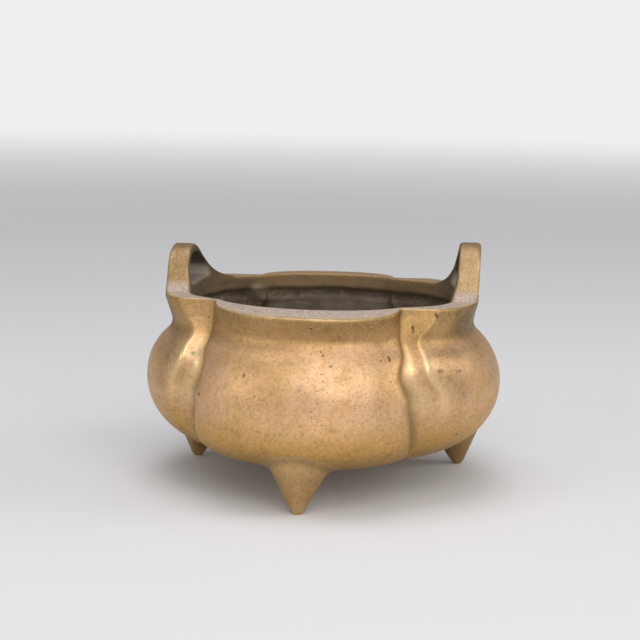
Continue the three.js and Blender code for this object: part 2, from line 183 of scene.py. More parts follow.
@dataclass(frozen=True)
class LobePlan:
    """The plan of the bowl: four lobes between grooves, each groove followed by a flat flute.

    Places round it run from 0 to 12, three for each quarter. Within a quarter 0 to 1 is half of the front or
    back lobe, 1 to 2 the flute beside it and 2 to 3 half of a side lobe. Widths are degrees, and depths and
    swells are shares of the radius.
    """

    rim_height: float = 74.5
    waist_height: float = 61.5
    belly_height: float = 41.0
    underside_height: float = 15.0
    front_groove: float = 41.1
    back_groove: float = 32.0
    lobe_offset: float = -4.2
    drift: Level = Level(0.0, -1.9, -2.8)
    drift_at_underside: float = 3.9
    pull: float = 3.0
    flute: Level = Level(11.2, 4.0, 10.8)
    swell: Level = Level(0.032, 0.015, 0.0)
    groove: Level = Level(0.148, 0.055, 0.086)
    arris: Level = Level(0.03, 0.035, -0.045)
    corner: Level = Level(0.048, 0.036, 0.012)
    front_pouch: float = 0.13
    rear_pouch: float = 0.09
    rear_pouch_reach: float = 38.0
    rear_feet: Tuple[float, float] = (119.0, -113.6)
    fade: float = 4.0
    lobe_power: int = 4
    flute_power: float = 1.5
    roll_at_rim: float = 1.0
    roll_at_belly: float = 0.5

    def by_height(self, level: Level, z: Array) -> Array:
        """A level's number at a height: eased between its heights, fading by a power below the belly.

        Args:
            level: the number at the rim, the waist and the belly.
            z: height.

        Returns:
            The number there.
        """
        down = held((self.belly_height - z) / (self.belly_height - self.underside_height))
        upper = level.waist + (level.rim - level.waist) * ramp(z, self.waist_height, self.rim_height)
        shoulder = level.belly + (level.waist - level.belly) * ramp(z, self.belly_height, self.waist_height)
        lower = level.belly * (1.0 - down**self.fade)
        return np.where(z >= self.waist_height, upper, np.where(z >= self.belly_height, shoulder, lower))

    def below(self, z: Array) -> Array:
        """0 from the fullest height up, eased to 1 at the underside."""
        return ramp(z, self.belly_height, self.underside_height)

    def groove_azimuth(self, left: Array, back: Array, z: Array) -> Array:
        """Azimuth of a groove from the middle of its front or back lobe, which wanders with the height.

        Args:
            left: true on the side of the left handle.
            back: true for the two grooves beside the back lobe.
            z: height.

        Returns:
            The azimuth.
        """
        up = held((z - self.belly_height) / (self.waist_height - self.belly_height))
        drift = self.by_height(self.drift, np.maximum(z, self.belly_height))
        drift = drift - self.pull * np.sin(math.pi * up) ** 2
        drift = drift + (self.drift_at_underside - self.drift.belly) * self.below(z)
        groove = np.where(back, self.back_groove, self.front_groove)
        return groove + np.where(left, -1.0, 1.0) * self.lobe_offset + drift

    def flute_width(self, z: Array) -> Array:
        """Azimuth that a flute takes up."""
        return np.where(z < self.belly_height, self.flute.belly, self.by_height(self.flute, z))

    def quarter(self, place: Array, groove: Array, z: Array, cut: Array) -> Tuple[Array, Array]:
        """Plan of one quarter, from the middle of the front or back lobe to the middle of a side lobe.

        The lobe falls from its swell to the groove as a root of one less the fourth power of its turn, the
        flute climbs to its arris, and the side lobe swells once more before its own middle.

        Args:
            place: 0 to 3.
            groove: azimuth of the groove from the lobe's middle.
            z: height.
            cut: share of its depth that the groove has.

        Returns:
            The azimuth from the lobe's middle, and the share by which the radius is scaled.
        """
        width = self.flute_width(z)
        swell = 1.0 + self.by_height(self.swell, z)
        bottom = swell - self.by_height(self.groove, z) * cut
        arris = 1.0 + self.by_height(self.arris, z)
        rise = ramp(z, self.belly_height, self.rim_height)
        roll = self.roll_at_belly + (self.roll_at_rim - self.roll_at_belly) * rise
        turn = np.sin(held(place) * QUARTER_TURN)
        lobe = bottom + (swell - bottom) * held(1.0 - turn**self.lobe_power) ** roll
        lobe = lobe + self.front_pouch * self.below(z) * (1.0 - turn**2)
        across = held(place - 1.0)
        flute = bottom + (arris - bottom) * across**self.flute_power
        aside = held(place - 2.0)
        side = 1.0 + (arris - 1.0 + self.by_height(self.corner, z) * CUBIC_PEAK * aside) * (1.0 - aside) ** 2
        start = groove + width
        azimuth = np.where(place <= 2, groove + width * across, start + (90 - start) * aside)
        azimuth = np.where(place <= 1, groove * turn, azimuth)
        return azimuth, np.where(place <= 1, lobe, np.where(place <= 2, flute, side))

    def plan(self, place: Array, z: Array, cut: Array) -> Tuple[Array, Array]:
        """Plan anywhere on the ring.

        Args:
            place: 0 to 12 once round from the middle of the front lobe.
            z: height.
            cut: share of its depth that a groove has.

        Returns:
            The azimuth from the front, and the share by which the radius is scaled.
        """
        turn = np.mod(place, 12.0)
        left = turn > 6.0
        along = np.where(left, 12.0 - turn, turn)
        back = along > 3.0
        groove = self.groove_azimuth(left, back, z)
        angle, share = self.quarter(np.where(back, 6.0 - along, along), groove, z, cut)
        azimuth = np.where(left, -1.0, 1.0) * np.where(back, 180.0 - angle, angle)
        return azimuth, share + self.pouch(azimuth, z)

    def pouch(self, azimuth: Array, z: Array) -> Array:
        """How much fuller the belly hangs over the rear feet: a squared cosine of the way from each foot.

        Args:
            azimuth: degrees from the front.
            z: height.

        Returns:
            What the share gains.
        """
        fuller = np.zeros(np.broadcast(azimuth, z).shape)
        for foot in self.rear_feet:
            off = np.minimum(1.0, np.abs(azimuth - foot) / self.rear_pouch_reach)
            fuller = fuller + self.rear_pouch * self.below(z) * np.cos(off * QUARTER_TURN) ** 2
        return fuller

    def share_at(self, azimuth: Array, z: Array) -> Array:
        """The share at an azimuth: its place in its quarter is found first, then the plan there.

        Args:
            azimuth: degrees from the front.
            z: height.

        Returns:
            The share by which the radius is scaled.
        """
        turned = np.mod(azimuth + 180.0, 360.0) - 180.0
        angle = np.abs(turned)
        back = angle > 90.0
        angle = np.where(back, 180.0 - angle, angle)
        groove = self.groove_azimuth(turned < 0, back, z)
        width = self.flute_width(z)
        start = groove + width
        lobe = np.arcsin(held(angle / groove)) / QUARTER_TURN
        side = 2.0 + (angle - start) / (90.0 - start)
        beyond = np.where(angle <= start, 1.0 + (angle - groove) / width, side)
        place = np.where(angle <= groove, lobe, beyond)
        return self.quarter(place, groove, z, np.array(1.0))[1] + self.pouch(turned, z)


@dataclass(frozen=True)
class Shape:
    """A closed grid surface on its way to a mesh: places and painted numbers on rows and columns."""

    points: Array
    paint: Dict[str, Union[Array, float]]
    poles: bool = True

    def mesh(self, name: str) -> bpy.types.Mesh:
        """Makes the mesh: quads between neighbouring rows and columns, with one vertex at each pole.

        Args:
            name: name of the mesh.

        Returns:
            The mesh in metres, smooth, with each painted number as an attribute of its vertices.
        """
        size = self.points.shape[:2]
        number = np.arange(size[0] * size[1]).reshape(size)
        if self.poles:
            number[0], number[-1] = number[0, 0], number[-1, 0]
        beside = np.roll(number, -1, axis=1)
        sides = [number[:-1], beside[:-1], beside[1:], number[1:]]
        if not self.poles:
            sides = [number, beside, np.roll(beside, -1, axis=0), np.roll(number, -1, axis=0)]
        used, flat = np.unique(np.stack(sides, axis=-1), return_inverse=True)
        quads = flat.reshape(-1, 4)
        first, last = quads[:, 0] == quads[:, 1], quads[:, 2] == quads[:, 3]
        whole = quads[~first & ~last]
        thirds = np.concatenate([quads[first][:, [0, 2, 3]], quads[last][:, :3]])
        places = self.points.reshape(-1, 3)[used] * MILLIMETRE
        mesh = bpy.data.meshes.new(name)
        mesh.from_pydata(places.tolist(), [], whole.tolist() + thirds.tolist())
        mesh.validate()
        mesh.shade_smooth()
        for label, values in self.paint.items():
            attribute = mesh.attributes.new(label, "FLOAT", "POINT")
            painted = np.broadcast_to(values, size).reshape(-1)[used]
            attribute.data.foreach_set("value", painted.astype(np.float32))
        return mesh


@dataclass(frozen=True)
class BowlForm:
    """Sizes of the bowl in profile, and the round profile turned into lobed places. All in millimetres.

    The skin is drawn in by a hundredth, so that it doesn't lie in the very faces of the solid.
    """

    plan: LobePlan = LobePlan()
    rim_radius: float = 60.0
    waist_radius: float = 58.0
    belly_radius: float = 69.5
    underside_radius: float = 41.5
    shoulder_reach: float = 29.5
    rim_thickness: float = 9.4
    rim_round: float = 0.9
    rim_droop: float = 2.1
    collar_depth: float = 6.0
    collar_undercut: float = 3.4
    collar_slope: float = 5.0
    collar_groove_share: float = 0.3
    throat_start: float = 0.8
    throat: Tuple[Point2, ...] = ((0.25, 0.2), (0.9, -0.3))
    waist_hollow: float = 3.5
    wall: float = 4.8
    floor: float = 5.0
    flare_power: float = 1.4
    drawn_in: float = 0.01
    newton_steps: int = 4

    def place(self, place: Array, radius: Array, z: Array, cut: Array = np.array(1.0)) -> Array:
        """Places of ring positions at a profile's radius and height, the worn front rim sloping outward.

        Args:
            place: position round the ring, 0 to 12.
            radius: radius of the round profile.
            z: height of the round profile.
            cut: share of its depth that a groove has.

        Returns:
            Coordinates on a new last axis.
        """
        azimuth, share = self.plan.plan(place, z, cut)
        reach = radius * share * (1.0 - self.drawn_in / self.belly_radius)
        turn = np.mod(place, 12.0)
        turn = np.sin(held(np.minimum(turn, 12.0 - turn)) * QUARTER_TURN)
        outward = ramp(radius, self.rim_radius - self.rim_thickness, self.rim_radius)
        upward = ramp(z, self.plan.waist_height, self.plan.rim_height)
        droop = self.rim_droop * (1.0 - turn**self.plan.lobe_power) * outward * upward
        angle = np.radians(azimuth)
        return together(reach * np.sin(angle), -reach * np.cos(angle), z - droop)

    def belly(self, flat: float, low: float, full: float, steps: int) -> Array:
        """Lower belly: a quarter of an ellipse from a flat radius at a low height out to the full radius."""
        angle, height = np.linspace(0.0, QUARTER_TURN, steps), self.plan.belly_height
        return together(flat + (full - flat) * np.sin(angle), height - (height - low) * np.cos(angle))

    def shoulder(self, full: float, top: float, radius_at_top: float, steps: int, end: float) -> Array:
        """Shoulder: part of an ellipse from the fullest height toward a radius at the waist or the throat.

        Args:
            full: radius at the fullest height.
            top: height toward which it runs.
            radius_at_top: its radius there.
            steps: how many points.
            end: height at which it stops.

        Returns:
            Radii and heights.
        """
        height = self.plan.belly_height
        centre = full - self.shoulder_reach
        whole = math.sin(math.acos((radius_at_top - centre) / self.shoulder_reach))
        angle = np.linspace(0.0, math.asin(whole * (end - height) / (top - height)), steps)
        rise = (top - height) * np.sin(angle) / whole
        return together(centre + self.shoulder_reach * np.cos(angle), height + rise)

    def neck(self, z: Array) -> Array:
        """Radius of the neck at a height: it flares toward the rim by a power of the way up."""
        t = (z - self.plan.waist_height) / (self.plan.rim_height - self.rim_round - self.plan.waist_height)
        return self.waist_radius + (self.rim_radius - self.waist_radius) * t**self.flare_power

    def edge(self, radius: float, z: float, start: float, end: float) -> Array:
        """A rounded edge: an arc of the rim's rounding, six points between two angles in degrees."""
        angle = np.radians(np.linspace(start, end, 6))
        return together(radius + self.rim_round * np.cos(angle), z + self.rim_round * np.sin(angle))

    def outer(self) -> Array:
        """Outside profile from the middle of the underside up to the rounded lip.

        Between the shoulder and the neck it is hollow: a parabola through the waist's corner.

        Returns:
            Radii, heights and shares to which the grooves are cut.
        """
        low, waist = self.plan.underside_height, self.plan.waist_height
        flat = together(np.linspace(0.0, self.underside_radius, 9)[:-1], low)
        belly = self.belly(self.underside_radius, low, self.belly_radius, 42)
        below, above = waist - self.waist_hollow, waist + self.waist_hollow
        shoulder = self.shoulder(self.belly_radius, waist, self.waist_radius, 32, below)[1:]
        lip = self.plan.rim_height - self.rim_round
        t = np.linspace(0.0, 1.0, 13)[1:, None]
        middle = np.array([[self.waist_radius, waist]])
        end = np.array([[float(self.neck(np.array(above))), above]])
        hollow = shoulder[-1:] * (1 - t) ** 2 + middle * 2 * t * (1 - t) + end * t**2
        height = np.linspace(above, lip, 11)[1:]
        neck = together(self.neck(height), height)
        edge = self.edge(self.rim_radius - self.rim_round, lip, 0.0, 90.0)[1:]
        profile = np.concatenate([flat, belly, shoulder, hollow, neck, edge])
        return np.concatenate([profile, np.ones((len(profile), 1))], axis=-1)

    def inner(self) -> Array:
        """Inside profile from the lip across the rim, down the collar, out under it and round to the floor.

        Returns:
            Radii, heights and shares to which the grooves are cut, which are small on the collar.
        """
        collar = self.rim_radius - self.rim_thickness
        top = self.plan.rim_height
        foot = top - self.collar_depth
        edge = self.edge(collar + self.rim_round, top - self.rim_round, 90.0, 180.0)
        width = np.linspace(0.0, 1.0, 9)[1:, None]
        outside = np.array([[self.rim_radius - self.rim_round, top]])
        face = outside + (edge[:1] - outside) * width
        wall = straight(edge[-1:], np.array([[collar, foot + self.throat_start]]), 7)
        throat = np.array([[collar + out, foot + up] for out, up in self.throat])
        flat, low = self.underside_radius - self.wall, self.plan.underside_height + self.floor
        full, rise = self.belly_radius - self.wall, foot - self.collar_slope
        shoulder = self.shoulder(full, rise, collar + self.collar_undercut, 24, rise)[::-1]
        ledge = straight(throat[-1:], shoulder[:1], 6)[:-1]
        belly = self.belly(flat, low, full, 24)[::-1][1:]
        floor = together(np.linspace(flat, 0.0, 12)[1:], low)
        inside = np.concatenate([edge[1:], wall, throat, ledge, shoulder, belly, floor])
        shallow = 1.0 - self.collar_groove_share
        cut = 1.0 - shallow * ramp(inside[:, 1:], self.plan.waist_height, foot)
        face = np.concatenate([face, 1.0 - shallow * width], axis=-1)
        return np.concatenate([face, np.concatenate([inside, cut], axis=-1)])

    def skin(self, points: Array) -> Array:
        """How far places lie off the lower belly: below 0 inside. An ellipse in radius and drop, flat inward.

        Args:
            points: coordinates on the last axis.

        Returns:
            One number for each place, 0 on the skin.
        """
        azimuth = np.degrees(np.arctan2(points[..., 0], -points[..., 1]))
        radius = np.hypot(points[..., 0], points[..., 1]) / self.plan.share_at(azimuth, points[..., 2])
        out = (radius - self.underside_radius) / (self.belly_radius - self.underside_radius)
        height = self.plan.belly_height
        down = (height - points[..., 2]) / (height - self.plan.underside_height)
        return np.hypot(np.maximum(out, 0.0), down) - 1.0

    def slope(self, points: Array, step: float = 0.05) -> Array:
        """Gradient of the skin: differences over a small step to both sides along each axis."""
        rises = (self.skin(points + off) - self.skin(points - off) for off in np.eye(3) * step)
        return together(*(rise / (2 * step) for rise in rises))

    def on_skin(self, points: Array) -> Array:
        """Places moved onto the skin of the lower belly by Newton steps along its gradient.

        Args:
            points: places near the skin.

        Returns:
            Places on it.
        """
        for _ in range(self.newton_steps):
            slope = self.slope(points)
            points = points - slope * (self.skin(points) / np.sum(slope * slope, axis=-1))[..., None]
        return points


class Finish(Enum):
    """The record's material slots."""

    BOWL = "bowl_brass"
    FOOT = "foot_brass"
    HANDLE = "handle_brass"


class Bench:
    """Adds shader nodes to the tree of one material or world and joins them."""

    def __init__(self, owner: Union[bpy.types.Material, bpy.types.World]) -> None:
        """Empties the tree.

        Args:
            owner: the material or world to work on.
        """
        owner.use_nodes = True
        self.tree = owner.node_tree
        self.tree.nodes.clear()
        self.objects = self.add("TexCoord").outputs["Object"]

    def add(self, kind: str, inputs: Optional[Dict[Union[str, int], Feed]] = None,
            **settings: Union[str, bool]) -> bpy.types.Node:
        """Adds a node.

        Args:
            kind: the node's type, without the ShaderNode that each begins with.
            inputs: by name or number, an output to link or a plain value.
            settings: the node's own settings.

        Returns:
            The node.
        """
        node = self.tree.nodes.new("ShaderNode" + kind)
        for label, value in settings.items():
            setattr(node, label, value)
        for label, value in (inputs or {}).items():
            target = node.inputs[label]
            if isinstance(value, Socket):
                self.tree.links.new(value, target)
            else:
                target.default_value = (*value, 1.0) if target.type == "RGBA" else value
        return node

    def placed(self, location: Point, rotation: Point, scale: Point, kind: str = "POINT") -> Socket:
        """Object coordinates moved, turned and scaled."""
        inputs = {"Vector": self.objects, "Location": location, "Rotation": rotation, "Scale": scale}
        return self.add("Mapping", inputs, vector_type=kind).outputs["Vector"]

    def noise(self, grain: float, detail: float, rough: float, seed: float,
              where: Optional[Socket] = None) -> Socket:
        """Noise of a grain in metres, on the object's coordinates or on others."""
        inputs = dict(W=seed, Scale=1 / grain, Detail=detail, Roughness=rough, Vector=where or self.objects)
        return self.add("TexNoise", inputs, noise_dimensions="4D").outputs["Fac"]

    def ragged(self, amount: float, grain: float) -> Socket:
        """Object coordinates shifted here and there by a noise.

        Args:
            amount: how far, in metres.
            grain: grain of the noise in metres.

        Returns:
            The shifted coordinates.
        """
        noise = self.add("TexNoise", {"Vector": self.objects, "Scale": 1 / grain, "Detail": 2.0})
        inputs = {0: noise.outputs["Color"], 1: (amount, amount, amount), 2: self.objects}
        return self.add("VectorMath", inputs, operation="MULTIPLY_ADD").outputs["Vector"]

    def spots(self, grain: float, size: float, share: float, where: Socket) -> Socket:
        """Scattered spots: in a share of the cells round scattered points, nearer to the point than a size.

        Args:
            grain: distance between the points in metres.
            size: radius of a spot as a share of the grain.
            share: how many of the points have a spot, 0 to 1.
            where: coordinates.

        Returns:
            1 in a spot and 0 outside.
        """
        cells = self.add("TexVoronoi", {"Vector": where, "Scale": 1 / grain})
        parts = self.add("SeparateColor", {"Color": cells.outputs["Color"]})
        chosen = self.span(parts.outputs["Red"], share + 0.02, share - 0.02)
        return self.maths("MULTIPLY", self.span(cells.outputs["Distance"], size, 0.55 * size), chosen)

    def painted(self, label: str) -> Socket:
        """A number painted on the mesh."""
        return self.add("Attribute", attribute_name=label).outputs["Fac"]

    def span(self, value: Socket, low: float, high: float, start: float = 0.0, end: float = 1.0) -> Socket:
        """Carries one range of a value smoothly to another."""
        inputs = {"Value": value, "From Min": low, "From Max": high, "To Min": start, "To Max": end}
        return self.add("MapRange", inputs, interpolation_type="SMOOTHSTEP").outputs["Result"]

    def maths(self, work: str, a: Feed, b: Feed = 0.0) -> Socket:
        """One sum on two numbers, held between 0 and 1."""
        return self.add("Math", {0: a, 1: b}, operation=work, use_clamp=True).outputs["Value"]

    def between(self, share: Feed, a: Feed, b: Feed) -> Socket:
        """A number between two numbers."""
        return self.add("Mix", {0: share, 2: a, 3: b}, data_type="FLOAT").outputs[0]

    def blend(self, share: Feed, a: Feed, b: Feed) -> Socket:
        """A colour between two colours."""
        return self.add("Mix", {0: share, 6: a, 7: b}, data_type="RGBA").outputs[2]

    def laid(self, colour: Feed, tint: Feed, mask: Socket, share: Feed) -> Socket:
        """A tint laid over a colour by a share of a mask."""
        return self.blend(self.maths("MULTIPLY", mask, share), colour, tint)


@dataclass(frozen=True)
class Mottle:
    """A noise of a grain in metres, of which one range is carried smoothly to another."""

    grain: float
    detail: float
    rough: float
    seed: float
    low: float
    high: float
    start: float = 0.0
    end: float = 1.0

    def on(self, bench: Bench) -> Socket:
        """Adds it to a bench's tree."""
        noise = bench.noise(self.grain, self.detail, self.rough, self.seed)
        return bench.span(noise, self.low, self.high, self.start, self.end)


@dataclass(frozen=True)
class Flaw:
    """A pit, slit or stain of the casting at one place on the bowl, in millimetres and degrees."""

    centre: Point
    half: Point
    turn: Point = (0.0, 0.0, 0.0)
    strength: float = 1.0

    def mask(self, bench: Bench, ragged: Socket) -> Socket:
        """1 in the middle of the flaw, falling to 0 at its edge, which a noise makes ragged.

        Args:
            bench: where it is added.
            ragged: the noise.

        Returns:
            The mask, scaled by the flaw's strength.
        """
        centre, half = (tuple(v * MILLIMETRE for v in vector) for vector in (self.centre, self.half))
        where = bench.placed(centre, tuple(math.radians(a) for a in self.turn), half, "TEXTURE")
        ball = bench.add("TexGradient", {"Vector": where}, gradient_type="SPHERICAL")
        return bench.span(bench.maths("MULTIPLY", ball.outputs["Fac"], ragged), 0.1, 0.34, 0.0, self.strength)


@dataclass(frozen=True)
class CastBrass:
    """Old cast brass: golden brown, bright where worn and where highlights are painted, pitted and speckled,
    dark in soot, dirt and painted shade, with a grey painted reflection on the rim top.
    """

    gold: Colour = (0.60, 0.352, 0.108)
    # Rosy, laid where the rosy number is painted: partly patina, partly painted light.
    rosy: Colour = (0.73, 0.462, 0.268)
    # Olive patina, also laid as painted shade.
    olive: Colour = (0.20, 0.122, 0.042)
    # Bright brass: worn spots, and painted highlights where the worn number is painted.
    bright: Colour = (0.86, 0.63, 0.35)
    # Dirt: in pits and flaws, and over soot where painted shade is laid.
    dirt: Colour = (0.06, 0.042, 0.022)
    verdigris: Colour = (0.15, 0.165, 0.085)
    soot: Colour = (0.115, 0.09, 0.066)
    # Ash, and painted light low in the handles' eyes.
    dust_and_light: Colour = (0.42, 0.365, 0.315)
    # The rim top's grey: a painted reflection.
    rim_reflection_dark: Colour = (0.352, 0.276, 0.228)
    rim_reflection_pale: Colour = (0.66, 0.5175, 0.4275)
    metallic: float = 0.88
    matt_metallic: float = 0.15
    specular: float = 0.5
    soot_specular: float = 0.12
    worn_roughness: float = 0.3
    dirty_roughness: float = 0.7
    top_roughness: float = 0.55
    soot_roughness: float = 0.85
    dirt_in_pits: float = 0.7
    dirt_in_flaws: float = 0.9
    dirt_and_shade_in_soot: float = 0.8
    stain_strength: float = 0.7
    scratch_shine: float = 0.3
    scratch_depth: float = 0.2
    pit_depth: float = 0.5
    bump: float = 0.6
    skin_bump: float = 0.00018
    soot_bump: float = 0.0012
    pin_holes: Point = (0.0009, 0.3, 0.3)
    large_pits: Point = (0.0033, 0.13, 0.14)
    rosy_clouds: Mottle = Mottle(0.016, 5.0, 0.62, 1.0, 0.36, 0.62, 0.45, 1.0)
    olive_clouds: Mottle = Mottle(0.011, 6.0, 0.7, 5.0, 0.5, 0.74, 0.0, 0.4)
    olive_specks: Mottle = Mottle(0.0012, 6.0, 0.8, 7.0, 0.44, 0.7, 0.0, 0.5)
    bright_flecks: Mottle = Mottle(0.0007, 5.0, 0.8, 11.0, 0.52, 0.68, 0.0, 0.42)
    rim_grains: Mottle = Mottle(0.0006, 4.0, 0.75, 35.0, 0.42, 0.66)
    green_patches: Mottle = Mottle(0.004, 4.0, 0.6, 13.0, 0.42, 0.58)
    wear_and_highlight_mottle: Mottle = Mottle(0.003, 5.0, 0.7, 15.0, 0.3, 0.6, 0.45, 1.0)
    ash: Mottle = Mottle(0.005, 6.0, 0.7, 9.0, 0.36, 0.66)
    crowds_of_pits: Mottle = Mottle(0.008, 4.0, 0.65, 17.0, 0.42, 0.62, 0.1, 1.0)
    grit: Mottle = Mottle(0.0006, 3.0, 0.6, 33.0, 0.64, 0.72, 0.0, 0.8)
    ragged_edges: Mottle = Mottle(0.0009, 3.0, 0.65, 3.0, 0.38, 0.6, 0.15, 1.4)
    roughness: Mottle = Mottle(0.006, 6.0, 0.7, 19.0, 0.3, 0.7, 0.42, 0.57)
    flaws: Tuple[Flaw, ...] = ()
    stains: Tuple[Flaw, ...] = ()

    def material(self, name: str) -> bpy.types.Material:
        """Builds the node material.

        Args:
            name: name of the material.

        Returns:
            The material.
        """
        material = bpy.data.materials.new(name)
        bench = Bench(material)
        soot, grime_and_shade = bench.painted("soot"), bench.painted("grime_and_shade")
        pits, flaws, scratches = self.pits(bench), self.strongest(bench, self.flaws), self.scratches(bench)
        colour = bench.laid(self.patina(bench, grime_and_shade, scratches), self.dirt, pits, self.dirt_in_pits)
        colour = bench.laid(colour, self.verdigris, self.strongest(bench, self.stains), self.stain_strength)
        colour = bench.laid(colour, self.dirt, flaws, self.dirt_in_flaws)
        ash = bench.maths("MULTIPLY", self.ash.on(bench), bench.span(bench.painted("olive_patina_and_shade"), 0.4, 0.05))
        sooty = bench.blend(bench.maths("MAXIMUM", ash, bench.painted("dust_and_light")), self.soot, self.dust_and_light)
        matt = bench.maths("MAXIMUM", soot, bench.painted("top"))
        # In the base colour, dirt and painted shade darken the soot, as high in a handle's eye.
        shader = bench.add("BsdfPrincipled", {
            "Base Color": bench.blend(soot, colour, bench.laid(sooty, self.dirt, grime_and_shade, self.dirt_and_shade_in_soot)),
            "Metallic": bench.between(matt, self.metallic, self.matt_metallic),
            "Roughness": self.gloss(bench, soot, bench.maths("MAXIMUM", grime_and_shade, pits)),
            "Specular IOR Level": bench.between(soot, self.specular, self.soot_specular),
            "Normal": self.relief(bench, soot, bench.maths("MAXIMUM", pits, flaws), scratches)})
        bench.add("OutputMaterial", {"Surface": shader.outputs["BSDF"]})
        return material

    def patina(self, bench: Bench, grime_and_shade: Socket, scratches: Socket) -> Socket:
        """Colour of the skin: golden or rosy, the rosy partly painted light, olive patina partly painted
        shade, dirt and painted shade in hollows, the rim top's grey painted reflection, bright wear and
        painted highlights.

        Args:
            bench: where it is added.
            grime_and_shade: where dirt and painted shade lie.
            scratches: where the skin is scratched.

        Returns:
            The colour.
        """
        # Rosy where painted, partly patina and partly painted light.
        colour = bench.laid(self.gold, self.rosy, bench.painted("rosy_patina_and_light"), self.rosy_clouds.on(bench))
        # Olive patina: noise clouds and the painted number, which is partly painted shade.
        olive_patina_and_shade = bench.maths("ADD", self.olive_clouds.on(bench), bench.painted("olive_patina_and_shade"))
        colour = bench.blend(olive_patina_and_shade, colour, self.olive)
        colour = bench.blend(self.olive_specks.on(bench), colour, self.olive)
        colour = bench.blend(self.bright_flecks.on(bench), colour, self.bright)
        colour = bench.laid(colour, self.bright, scratches, self.scratch_shine)
        # The grey rim top is a painted reflection.
        rim = bench.blend(self.rim_grains.on(bench), self.rim_reflection_dark, self.rim_reflection_pale)
        # Dirt and painted shade lay olive over the skin.
        colour = bench.laid(bench.blend(bench.painted("top"), colour, rim), self.olive, grime_and_shade, 0.7)
        green = bench.maths("MULTIPLY", grime_and_shade, self.green_patches.on(bench))
        colour = bench.laid(colour, self.verdigris, green, 0.5)
        # Wear and painted highlights turn bright.
        return bench.laid(colour, self.bright, bench.painted("worn"), self.wear_and_highlight_mottle.on(bench))

    def pits(self, bench: Bench) -> Socket:
        """Specks and pin holes of the casting, thicker in some places than in others.

        Args:
            bench: where it is added.

        Returns:
            1 in a pit and 0 outside.
        """
        where = bench.ragged(0.0007, 0.0007)
        crowd = self.crowds_of_pits.on(bench)
        fine = bench.maths("MULTIPLY", bench.spots(*self.pin_holes, where), crowd)
        fine = bench.maths("MAXIMUM", fine, bench.maths("MULTIPLY", self.grit.on(bench), crowd))
        return bench.maths("MAXIMUM", fine, bench.spots(*self.large_pits, where))

    def strongest(self, bench: Bench, flaws: Tuple[Flaw, ...]) -> Socket:
        """The strongest of some flaws at each point.

        Args:
            bench: where it is added.
            flaws: the flaws.

        Returns:
            The mask of all of them.
        """
        ragged = self.ragged_edges.on(bench)
        total = bench.maths("MAXIMUM", 0.0, 0.0)
        for flaw in flaws:
            total = bench.maths("MAXIMUM", flaw.mask(bench, ragged), total)
        return total

    def scratches(self, bench: Bench) -> Socket:
        """Fine scratches laid in two directions: noises stretched long one way.

        Args:
            bench: where it is added.

        Returns:
            1 in a scratch and 0 outside.
        """
        lengthwise = bench.placed((0, 0, 0), (0.0, 0.5, 0.3), (0.09, 1.0, 1.6))
        upright = bench.placed((0, 0, 0), (0.2, -0.6, 0.1), (1.4, 1.0, 0.1))
        first = bench.span(bench.noise(0.001, 3.0, 0.6, 25.0, lengthwise), 0.58, 0.72)
        second = bench.span(bench.noise(0.001, 3.0, 0.6, 27.0, upright), 0.6, 0.74, 0.0, 0.8)
        return bench.maths("MAXIMUM", first, second)

    def gloss(self, bench: Bench, soot: Socket, grime_shade_and_pits: Socket) -> Socket:
        """Roughness: uneven on the skin, smoother where worn and on painted highlights, dull in dirt and
        painted shade, on the rim's top and in soot.

        Args:
            bench: where it is added.
            soot: where soot lies.
            grime_shade_and_pits: where dirt, painted shade and pits are.

        Returns:
            The roughness.
        """
        rough, worn, top = self.roughness.on(bench), bench.painted("worn"), bench.painted("top")
        for mask, value in ((worn, self.worn_roughness), (grime_shade_and_pits, self.dirty_roughness),
                            (top, self.top_roughness), (soot, self.soot_roughness)):
            rough = bench.between(mask, rough, value)
        return rough

    def relief(self, bench: Bench, soot: Socket, sunk: Socket, scratches: Socket) -> Socket:
        """Bumps: the cast grain, fine scratches, pits and flaws sunk in, a rough inside.

        Args:
            bench: where it is added.
            soot: where soot lies.
            sunk: pits and flaws.
            scratches: where the skin is scratched.

        Returns:
            The normal.
        """
        skin = bench.between(0.35, bench.noise(0.0009, 6.0, 0.7, 21.0), bench.noise(0.008, 3.0, 0.5, 23.0))
        for mask, depth in ((scratches, self.scratch_depth), (sunk, self.pit_depth)):
            skin = bench.maths("SUBTRACT", skin, bench.maths("MULTIPLY", mask, depth))
        height = bench.between(soot, skin, bench.noise(0.0028, 7.0, 0.7, 29.0))
        distance = bench.between(soot, self.skin_bump, self.soot_bump)
        bump = bench.add("Bump", {"Strength": self.bump, "Distance": distance, "Height": height})
        return bump.outputs["Normal"]


def new_object(name: str, data: bpy.types.ID) -> bpy.types.Object:
    """An object of some data, linked into the scene.

    Args:
        name: its name.
        data: its mesh, lamp or camera.

    Returns:
        The object.
    """
    made = bpy.data.objects.new(name, data)
    bpy.context.scene.collection.objects.link(made)
    return made


def put_piece(node: str, shape: Shape, material: bpy.types.Material) -> None:
    """Makes an object of a shape, riding on the root body, and sets it in place of a solid.

    Args:
        node: the solid that it stands for.
        shape: its surface.
        material: its material.
    """
    name = node + "_casting"
    mesh = shape.mesh(name)
    mesh.materials.append(material)
    piece = new_object(name, mesh)
    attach(piece, "root")
    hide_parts(node)
    LOG.info("%s stands for %s: %d faces", name, node, len(mesh.polygons))


class Piece:
    """A casting of the burner: the node of its solid, its finish, and a surface that each kind works out."""

    node: str
    finish: Finish

    def shape(self) -> Shape:
        """The surface with its painted numbers."""
        raise NotImplementedError

    def make(self, material: bpy.types.Material) -> None:
        """Builds and dresses the piece."""
        put_piece(self.node, self.shape(), material)


